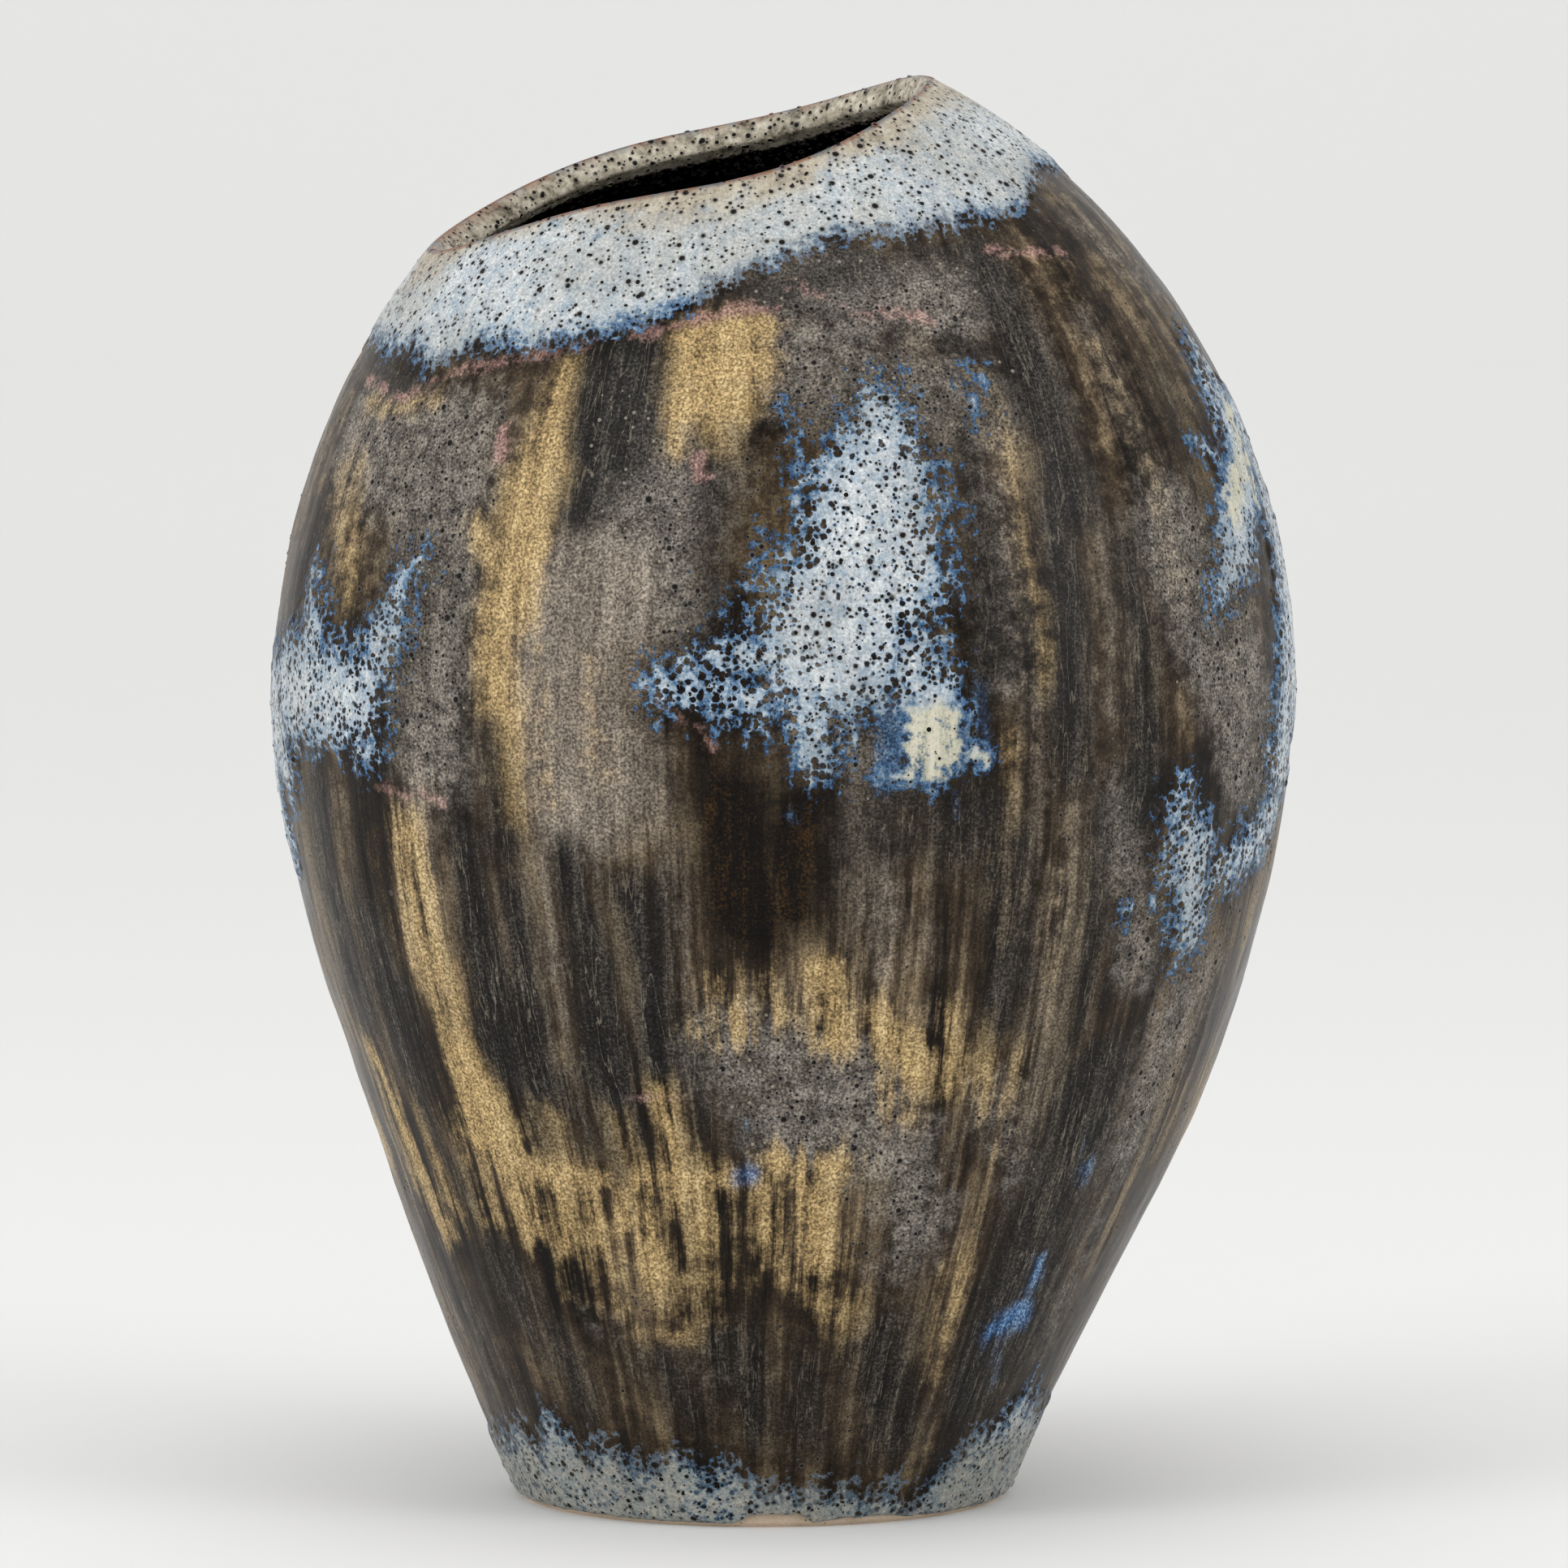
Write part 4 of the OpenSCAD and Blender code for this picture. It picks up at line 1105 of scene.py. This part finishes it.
@dataclass
class Blisters:
    """Gas bubbles in the glaze, some of them burst, scattered by Geometry Nodes over a coat.

    Attributes:
        spacing_mm: Least distance between two.
        smallest_mm: Radius of the smallest.
        largest_mm: Radius of the largest.
        seed: Fixes where they stand.
        burst: Whether they have burst and left a rimmed crater.
        drift_mm: Size of the patches in which they crowd.
        most_per_m2: How many there are where they crowd most.
    """

    spacing_mm: float
    smallest_mm: float
    largest_mm: float
    seed: int
    burst: bool
    drift_mm: float = 9.0
    most_per_m2: float = 90000.0

    def tagged(self, tree: bpy.types.NodeTree, shape: bpy.types.NodeSocket, tag: str) -> bpy.types.NodeSocket:
        """The shape with an attribute of 1 on its points, which the glaze's material reads."""
        tag_it = {"data_type": "FLOAT", "domain": "POINT"}
        return add(tree, "GeometryNodeStoreNamedAttribute", {0: shape, "Name": tag, "Value": 1.0}, **tag_it)

    def crater(self, tree: bpy.types.NodeTree) -> bpy.types.NodeSocket:
        """A raised rim round a dark disc that stands for the hole, one unit in radius; the disc's near-black
        is painted shade of the hole, partly the darker glaze beneath.
        """
        path, section = (
            add(tree, "GeometryNodeCurvePrimitiveCircle", {"Resolution": sides, "Radius": radius})
            for sides, radius in ((9, 1.0), (4, 0.3))
        )
        rim = add(tree, "GeometryNodeCurveToMesh", {0: path, 1: section})
        hole = add(tree, "GeometryNodeMeshCircle", {"Vertices": 9, "Radius": 0.86}, fill_type="NGON")
        hole = add(tree, "GeometryNodeTransform", {0: hole, "Translation": (0, 0, 0.1)})
        join = add(tree, "GeometryNodeJoinGeometry", out=None)
        for part in (rim, self.tagged(tree, hole, "pit")):
            tree.links.new(part, join.inputs[0])
        return join.outputs[0]

    def bubble(self, tree: bpy.types.NodeTree) -> bpy.types.NodeSocket:
        """A whole bubble: a low dome, one unit in radius, tagged so that the glaze paints it pale, partly its
        own whitish colour and partly painted highlight.
        """
        ball = add(tree, "GeometryNodeMeshIcoSphere", {"Radius": 1.0, "Subdivisions": 2})
        low = add(tree, "GeometryNodeTransform", {0: ball, "Scale": (1, 1, 0.6)})
        return self.tagged(tree, low, "dome")

    def tree(self) -> bpy.types.NodeTree:
        """Builds the node tree that scatters them."""
        name = "glaze_craters" if self.burst else "glaze_bubbles"
        tree = bpy.data.node_groups.new(name, "GeometryNodeTree")
        kinds = {
            "Coat": "NodeSocketGeometry",
            "Where": "NodeSocketString",
            "Spacing": "NodeSocketFloat",
            "Smallest": "NodeSocketFloat",
            "Largest": "NodeSocketFloat",
            "Glaze": "NodeSocketMaterial",
        }
        for name, kind in kinds.items():
            tree.interface.new_socket(name=name, in_out="INPUT", socket_type=kind)
        tree.interface.new_socket(name="Blisters", in_out="OUTPUT", socket_type="NodeSocketGeometry")
        given = add(tree, "NodeGroupInput", out=None).outputs
        here, outer = (
            add(tree, "GeometryNodeInputNamedAttribute", {"Name": name}, data_type="FLOAT")
            for name in (given["Where"], "outside")
        )
        place = add(tree, "GeometryNodeInputPosition")
        drift = add(tree, "ShaderNodeTexNoise", {0: place, "Scale": 1 / (self.drift_mm * MM), "Detail": 3})
        drift = add(tree, "ShaderNodeMath", {0: drift, 1: 1.4, 2: -1.15}, **PLUS)
        share = add(tree, "ShaderNodeMath", {0: here, 1: drift}, operation="ADD")
        share = add(tree, "ShaderNodeMapRange", {0: share, 1: 0.1, 2: 0.75})
        share = add(tree, "ShaderNodeMath", {0: share, 1: outer}, **TIMES)
        crowd = {"Distance Min": given["Spacing"], "Density Max": self.most_per_m2, "Density Factor": share}
        spots = add(
            tree,
            "GeometryNodeDistributePointsOnFaces",
            {"Mesh": given["Coat"], **crowd, "Seed": self.seed},
            out=None,
            distribute_method="POISSON",
        ).outputs
        sizes = {2: given["Smallest"], 3: given["Largest"], "Seed": self.seed}
        size = add(tree, "FunctionNodeRandomValue", sizes, out=1, data_type="FLOAT")
        stand = {
            "Points": spots["Points"],
            "Instance": self.crater(tree) if self.burst else self.bubble(tree),
            "Rotation": spots["Rotation"],
            "Scale": size,
        }
        stood = add(tree, "GeometryNodeInstanceOnPoints", stand)
        real = add(tree, "GeometryNodeRealizeInstances", {0: stood})
        smooth = add(tree, "GeometryNodeSetShadeSmooth", {0: real})
        dressed = add(tree, "GeometryNodeSetMaterial", {0: smooth, "Material": given["Glaze"]})
        add(tree, "NodeGroupOutput", {0: dressed}, out=None)
        return tree

    def grow(
        self, name: str, coat: bpy.types.Object, where: str, glaze: bpy.types.Material
    ) -> bpy.types.Object:
        """Scatters them over a coat.

        Args:
            name: The new piece's name.
            coat: The coat they stand on.
            where: The coat's attribute that says where they are thick.
            glaze: Their material.

        Returns:
            The piece, as a plain mesh.
        """
        piece = bpy.data.objects.new(name, coat.data.copy())
        bpy.context.scene.collection.objects.link(piece)
        modifier = piece.modifiers.new("scatter", "NODES")
        modifier.node_group = self.tree()
        values = {
            "Where": where,
            "Spacing": self.spacing_mm * MM,
            "Smallest": self.smallest_mm * MM,
            "Largest": self.largest_mm * MM,
            "Glaze": glaze,
        }
        for socket in modifier.node_group.interface.items_tree:
            if socket.in_out == "INPUT" and socket.name in values:
                modifier[socket.identifier] = values[socket.name]
        return applied(piece)


@dataclass
class Coat:
    """What every coat of glaze shares: the form, its paint and its relief.

    Attributes:
        form: The pot's outline.
        painter: Paints its colours.
        relief: Raises its surface.
        columns: Points round it.
        bury_mm: How deep the back of a milky coat lies in the brown.
    """

    form: Form
    painter: Painter
    relief: Relief
    columns: int = 512
    bury_mm: float = 0.4

    @property
    def bearings(self) -> np.ndarray:
        """Bearings of the columns."""
        return np.arange(self.columns) * 360 / self.columns

    def ring(self, bearing: np.ndarray) -> np.ndarray:
        """Positions round a level ring, for variation that only depends on the bearing."""
        return self.painter.places(0 * bearing, bearing)

    def bare_edge(self, bearing: np.ndarray) -> np.ndarray:
        """Height at which the glaze stops short of the standing face."""
        return round_curve(BARE_EDGE, bearing) + 0.35 * Wander(71).at(self.ring(bearing), 5, 3)

    def raised(
        self, z: np.ndarray, bearing: np.ndarray, lift: np.ndarray | float
    ) -> tuple[np.ndarray, np.ndarray]:
        """Points that stand over the brown coat, and their heights.

        Args:
            z: Heights of their places.
            bearing: Their bearings.
            lift: How far over the brown they stand.

        Returns:
            The points, and z.
        """
        return self.form.skin(z, bearing, -self.relief.body(z, bearing) - lift), z

    def finish(
        self, shell: Shell, name: str, faces: np.ndarray, outside: np.ndarray, glaze: bpy.types.Material
    ) -> bpy.types.Object:
        """Builds, paints and dresses a coat.

        Args:
            shell: Its points.
            name: The piece's name.
            faces: Its faces.
            outside: 1 for each point that can be seen and 0 for each that lies against the pot.
            glaze: Its material.

        Returns:
            The piece.
        """
        piece = shell.build(name, faces, self.painter)
        attribute = piece.data.attributes.new("outside", "FLOAT", "POINT")
        attribute.data.foreach_set("value", outside.astype(np.float32))
        piece.data.materials.append(glaze)
        return piece

    def close(
        self,
        name: str,
        laid: list[tuple[np.ndarray, np.ndarray]],
        visible: int,
        glaze: bpy.types.Material,
        first_inside: int | None = None,
    ) -> bpy.types.Object:
        """Finishes a coat that goes all round the pot, from rows that close on themselves.

        Args:
            name: The piece's name.
            laid: Points of each row, and heights of their places.
            visible: How many of the first rows can be seen.
            glaze: Its material.
            first_inside: The first row that lies inside the mouth.

        Returns:
            The piece.
        """
        rows, heights = map(list, zip(*laid))
        shell = Shell(rows, heights, [self.bearings] * len(laid), first_inside)
        seen = np.repeat([1] * visible + [0] * (len(laid) - visible), self.columns)
        return self.finish(shell, name, shell.faces(True, True), seen, glaze)


@dataclass
class BrownCoat(Coat):
    """The brown coat, which covers the whole outside of the wall.

    Attributes:
        rows: Rows up the outside.
        low_rows: Rows below the level of the floor.
        back_rows: Rows against the clay.
        edge_mm: How far the rounded lower edge draws in.
    """

    rows: int = 150
    low_rows: int = 8
    back_rows: int = 24
    edge_mm: float = 0.35

    def build(self, glaze: bpy.types.Material) -> bpy.types.Object:
        """Builds the coat as a closed shell."""
        form, a = self.form, self.bearings
        lip = form.lip(a)
        edge = self.bare_edge(a)
        low = [mix(edge, form.floor_top, j / self.low_rows) for j in range(self.low_rows)]
        outer = low + [form.row(np.float64(j / self.rows), lip) for j in range(self.rows + 1)]
        back = low[:1] + [form.row(np.float64(j / self.back_rows), lip) for j in range(self.back_rows + 1)]
        laid = [self.raised(z, a, 0.0) for z in outer]
        # The lower edge is rounded where the glaze drew itself together
        laid[0] = (form.skin(edge, a, self.edge_mm), edge)
        laid += [(form.skin(z, a, form.brown_t), z) for z in reversed(back)]
        piece = self.close("brown_coat", laid, len(outer), glaze)
        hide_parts("brown_glaze")
        return piece


@dataclass
class CollarCoat(Coat):
    """The milky collar, which climbs the shoulder, rounds over the lip and runs a little way down inside.

    Attributes:
        below_mm: How far it reaches, sunk under the brown, below its visible edge.
        rows: Rows up the outside.
        lip_rows: Rows over the lip.
        inside_rows: Rows down inside.
        back_rows: Rows against the brown.
        lip_bulge: How thick it stands on the lip, against its thickness elsewhere.
        gap_mm: How far off the clay its back stands.
    """

    below_mm: float = 6.0
    rows: int = 44
    lip_rows: int = 14
    inside_rows: int = 12
    back_rows: int = 12
    lip_bulge: float = 1.3
    gap_mm: float = 0.02

    def build(self, glaze: bpy.types.Material) -> bpy.types.Object:
        """Builds the coat as a closed shell."""
        form, a = self.form, self.bearings
        lip = form.lip(a)
        low = round_curve(COLLAR_EDGE, a) - self.below_mm
        climb = [mix(low, lip, j / self.rows) for j in range(self.rows)]
        laid = [self.raised(z, a, self.relief.milk(z, a)) for z in climb]
        inner = form.wall_depth(np.float64(1.0))
        wander, at = Wander(83), self.ring(a)
        for j in range(self.lip_rows + 1):
            across = -math.cos(math.pi * j / self.lip_rows)
            depth = inner / 2 + (inner / 2 + form.pale_t) * across
            up = form.pale_t * self.lip_bulge * (1 - abs(across) ** 2.6) ** 0.5
            up = up * (1 + 0.3 * wander.at(at + j, 14, 2))
            laid.append((form.skin(lip, a, depth, up), lip - 0.2 - 0.6 * (1 + across)))
        reach = form.collar_inside + 1.6 * wander.at(at, 9, 4)
        shares = [(j, 1 - 0.75 * (j / self.inside_rows) ** 6) for j in range(1, self.inside_rows + 1)]
        turns = [(j, form.pale_t * share) for j, share in shares]
        visible = len(laid) + len(turns)
        turns += [(j, self.gap_mm) for j in range(self.inside_rows - 1, -1, -3)]
        for j, lift in turns:
            s = 1 - reach * j / self.inside_rows / (form.lip_h - form.floor_top)
            laid.append((form.skin(form.row(s, lip), a, form.wall_depth(s) + lift), form.row(s, lip)))
        laid.append((form.skin(lip, a, 0.0, self.gap_mm), lip))
        down = [mix(low, lip, j / self.back_rows) for j in range(self.back_rows - 1, -1, -1)]
        laid += [self.raised(z, a, -self.bury_mm) for z in down]
        piece = self.close("collar_coat", laid, visible, glaze, self.rows + self.lip_rows // 4)
        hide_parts("collar_glaze")
        return piece


@dataclass
class FootCoat(Coat):
    """The milky band at the foot, thick round its lower edge and ragged above.

    Attributes:
        above_mm: How far it reaches, sunk under the brown, above its visible edge.
        start_mm: How far over the brown coat's lower edge it starts.
        rows: Rows up the outside.
        back_rows: Rows against the brown.
    """

    above_mm: float = 8.0
    start_mm: float = 0.15
    rows: int = 44
    back_rows: int = 8

    def build(self, glaze: bpy.types.Material) -> bpy.types.Object:
        """Builds the coat as a closed shell."""
        a = self.bearings
        low = self.bare_edge(a) + self.start_mm
        top = round_curve(BAND_EDGE, a) + self.above_mm
        laid = []
        for j in range(self.rows + 1):
            z = mix(low, top, j / self.rows)
            laid.append(self.raised(z, a, self.relief.milk(z, a) * ease((j + 1) / 3)))
        down = [mix(low, top, j / self.back_rows) for j in range(self.back_rows, -1, -1)]
        laid += [self.raised(z, a, -self.bury_mm) for z in down]
        piece = self.close("foot_coat", laid, self.rows + 1, glaze)
        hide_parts("foot_glaze")
        return piece


@dataclass
class Splash(Coat):
    """A splash of milky glaze: a patch that rises from the brown where glaze lies and sinks where it ends.

    Attributes:
        name: The piece's name.
        node: The CAD node that it stands for.
        span: Its first and last bearing.
        reach: Its lowest and highest place.
        step_mm: Distance between neighbouring points.
        fade_steps: Points from its rim over which it sinks.
    """

    name: str = ""
    node: str = ""
    span: tuple[float, float] = (0.0, 0.0)
    reach: tuple[float, float] = (0.0, 0.0)
    step_mm: float = 0.8
    fade_steps: int = 6

    def build(self, glaze: bpy.types.Material) -> bpy.types.Object:
        """Builds the patch as a closed shell."""
        n = round(math.radians(self.span[1] - self.span[0]) * self.form.belly_r / self.step_mm)
        m = round((self.reach[1] - self.reach[0]) / self.step_mm)
        a = np.linspace(*self.span, n)
        levels = [np.full(n, z) for z in np.linspace(*self.reach, m)]
        fade = ease(np.minimum(np.arange(n), np.arange(n)[::-1]) / self.fade_steps)
        top, bottom = [], []
        for j, z in enumerate(levels):
            share = fade * ease(min(j, m - 1 - j) / self.fade_steps)
            lift = mix(-self.relief.sunk_mm, self.relief.milk(z, a), share)
            top.append(self.raised(z, a, lift)[0])
            bottom.append(self.raised(z, a, -self.bury_mm)[0])
        shell = Shell(top + bottom, levels * 2, [a] * (2 * m))
        shell.count = m
        outer = shell.faces(False, False)
        under = outer[:, ::-1] + n * m
        i, j = np.arange(n - 1, 0, -1), np.arange(m - 1, 0, -1)
        rim = np.concatenate([np.arange(n - 1), np.arange(m - 1) * n + n - 1, (m - 1) * n + i, j * n])
        after = np.roll(rim, -1)
        sides = np.stack([after, rim, rim + n * m, after + n * m], axis=-1)
        seen = np.repeat([1, 0], n * m)
        piece = self.finish(shell, self.name, np.concatenate([outer, under, sides]), seen, glaze)
        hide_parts(self.node)
        return piece


@dataclass
class LinerCoat:
    """The black liner: a thin cup of glaze over the floor and the inside of the wall.

    Attributes:
        form: The pot's outline.
        columns: Points round it.
        rows: Rows up the wall.
        below_lip_mm: How far below the lip it starts, under the collar.
        gap_mm: How far off the clay its back stands.
        floor_rings: Shares of the floor's radius at which its rings lie.
    """

    form: Form
    columns: int = 256
    rows: int = 60
    below_lip_mm: float = 7.0
    gap_mm: float = 0.02
    floor_rings: tuple[float, ...] = (0.02, 0.25, 0.5, 0.75, 0.95)

    def build(self, glaze: bpy.types.Material) -> bpy.types.Object:
        """Builds the cup as a closed shell."""
        form = self.form
        a = np.arange(self.columns) * 360 / self.columns
        lip = form.lip(a)
        top = 1 - self.below_lip_mm / (form.lip_h - form.floor_top)
        lift = form.liner_t / (form.lip_h - form.floor_top)
        against, towards = [], []
        for j in range(self.rows + 1):
            near, far = top * j / self.rows, mix(lift, top, j / self.rows)
            for side, s, off in ((against, near, self.gap_mm), (towards, far, form.liner_t)):
                side.append(form.skin(form.row(s, lip), a, form.wall_depth(s) + off))
        middle = np.array([form.foot_x, 0, 0])
        under = [middle + (against[0] - middle) * [k, k, 1] for k in self.floor_rings]
        over = [middle + (towards[0] - middle) * [k, k, 1] for k in reversed(self.floor_rings)]
        rows = under + against + towards[::-1] + over
        shell = Shell(rows, [lip] * len(rows), [a] * len(rows))
        first = list(range(self.columns))[::-1]
        last = [(len(rows) - 1) * self.columns + i for i in range(self.columns)]
        piece = shell.build("liner_coat", [*shell.faces(False, True).tolist(), first, last])
        piece.data.materials.append(glaze)
        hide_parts("liner_glaze")
        return piece


@dataclass(frozen=True)
class SoftBox:
    """A rectangular soft light.

    Attributes:
        name: Its name.
        at: Where it hangs, in metres.
        size: Its width and height, in metres.
        watts: Its power.
        aim: The point it faces, by default the middle of the pot.
    """

    name: str
    at: tuple[float, float, float]
    size: tuple[float, float]
    watts: float
    aim: tuple[float, float, float] = (0.0, 0.0, 0.16)

    def hang(self) -> None:
        """Adds the light to the scene."""
        lamp = bpy.data.lights.new(self.name, "AREA")
        lamp.shape = "RECTANGLE"
        lamp.size, lamp.size_y = self.size
        lamp.energy = self.watts
        box = bpy.data.objects.new(self.name, lamp)
        box.location = self.at
        way = Vector(self.aim) - Vector(self.at)
        box.rotation_euler = way.to_track_quat("-Z", "Y").to_euler()
        bpy.context.scene.collection.objects.link(box)


@dataclass
class Studio:
    """A white paper sweep under soft light, and the camera.

    Attributes:
        eye: Where the camera stands, in metres.
        pitch: How far it looks down, in degrees.
        lens_mm: Its focal length.
        sensor_mm: How wide its sensor is.
        half_width: Half the sweep's width, in metres.
        front: How far the paper comes towards the camera.
        back: Where it starts to curve up.
        curve: Radius of that curve.
        height: How high it goes.
        air: Strength of the light that comes from all round.
        boxes: The soft lights.
    """

    eye: tuple[float, float, float] = (0.0, -3.0, 0.44835)
    pitch: float = 5.3908
    lens_mm: float = 298.8
    sensor_mm: float = 36.0
    half_width: float = 7.0
    front: float = 7.0
    back: float = 4.2
    curve: float = 1.4
    height: float = 3.6
    air: float = 0.6
    boxes: tuple[SoftBox, ...] = (
        SoftBox("left_box", (-2.2, -1.5, 1.1), (1.2, 2.2), 26),
        SoftBox("right_box", (2.2, -1.3, 1.1), (1.2, 2.2), 19),
        SoftBox("top_box", (0.0, -0.6, 2.6), (2.4, 1.6), 16),
        SoftBox("paper_box", (0.0, 3.7, 3.0), (5.0, 2.0), 26, aim=(0.0, 3.5, 0.0)),
    )

    def sweep(self) -> None:
        """Lays the paper on the floor and up behind."""
        bend = [
            (self.back + self.curve * math.sin(t), self.curve * (1 - math.cos(t)))
            for t in np.linspace(0, math.pi / 2, 24)
        ]
        outline = [(-self.front, 0.0), *bend, (self.back + self.curve, self.height)]
        points = [(x, y, z) for y, z in outline for x in (-self.half_width, self.half_width)]
        faces = [(2 * j, 2 * j + 1, 2 * j + 3, 2 * j + 2) for j in range(len(outline) - 1)]
        mesh = bpy.data.meshes.new("paper_sweep")
        mesh.from_pydata(points, [], faces)
        mesh.polygons.foreach_set("use_smooth", np.ones(len(faces), bool))
        mesh.materials.append(StudioPaper().material())
        paper = bpy.data.objects.new("paper_sweep", mesh)
        bpy.context.scene.collection.objects.link(paper)

    def build(self) -> None:
        """Lights the stage and sets the camera."""
        self.sweep()
        for box in self.boxes:
            box.hang()
        scene = bpy.context.scene
        world = bpy.data.worlds.new("studio_air")
        world.use_nodes = True
        world.node_tree.nodes.clear()
        air = add(world.node_tree, "ShaderNodeBackground", {0: linear("#ffffff"), 1: self.air})
        add(world.node_tree, "ShaderNodeOutputWorld", {0: air}, out=None)
        scene.world = world
        eye = bpy.data.cameras.new("camera")
        eye.lens = self.lens_mm
        eye.sensor_width = self.sensor_mm
        eye.clip_end = 50
        camera = bpy.data.objects.new("camera", eye)
        camera.location = self.eye
        camera.rotation_euler = (math.radians(90 - self.pitch), 0, 0)
        scene.collection.objects.link(camera)
        scene.camera = camera
        scene.view_settings.view_transform = "Standard"


def main() -> None:
    """Builds every piece in order and reports it."""
    logging.basicConfig(level=logging.INFO, format="%(name)s: %(message)s")
    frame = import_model()
    form = Form.from_frame()
    painter = Painter(form)
    relief = Relief(form, painter)
    brown = ReactiveGlaze("brown_reactive_glaze").material()
    milky = ReactiveGlaze("pale_blue_glaze").material()
    clay = BareStoneware().material()
    for name in ("foot_ring", "clay_floor", "clay_wall"):
        node = frame["nodes"][name]
        node.data.materials.clear()
        node.data.materials.append(clay)

    shared = (form, painter, relief)
    splashes = (
        Splash(*shared, name="front_coat", node="front_splash", span=(250, 302), reach=(158, 272)),
        Splash(*shared, name="left_coat", node="left_splash", span=(160, 230), reach=(128, 230)),
        Splash(*shared, name="right_coat", node="right_splash", span=(308, 372), reach=(116, 280)),
    )
    body = BrownCoat(*shared).build(brown)
    milks = [coat.build(milky) for coat in (CollarCoat(*shared), FootCoat(*shared), *splashes)]
    pieces = [body, *milks, LinerCoat(form).build(LinerGlaze().material())]
    domes = Blisters(1.7, 0.22, 0.5, seed=5, burst=False)
    bubbles = domes.grow("body_bubbles", body, Tone.STONE.value, brown)
    pieces.append(bubbles)
    craters = Blisters(3.0, 0.3, 0.75, seed=8, burst=True)
    for coat in milks:
        grown = craters.grow(coat.name.replace("coat", "craters"), coat, Tone.SKY.value, milky)
        pieces.append(grown)
    for piece in pieces:
        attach(piece, BODY)
        piece.data.calc_loop_triangles()
        LOG.info("%s: %d triangles", piece.name, len(piece.data.loop_triangles))
    Studio().build()


if __name__ == "__main__":
    main()
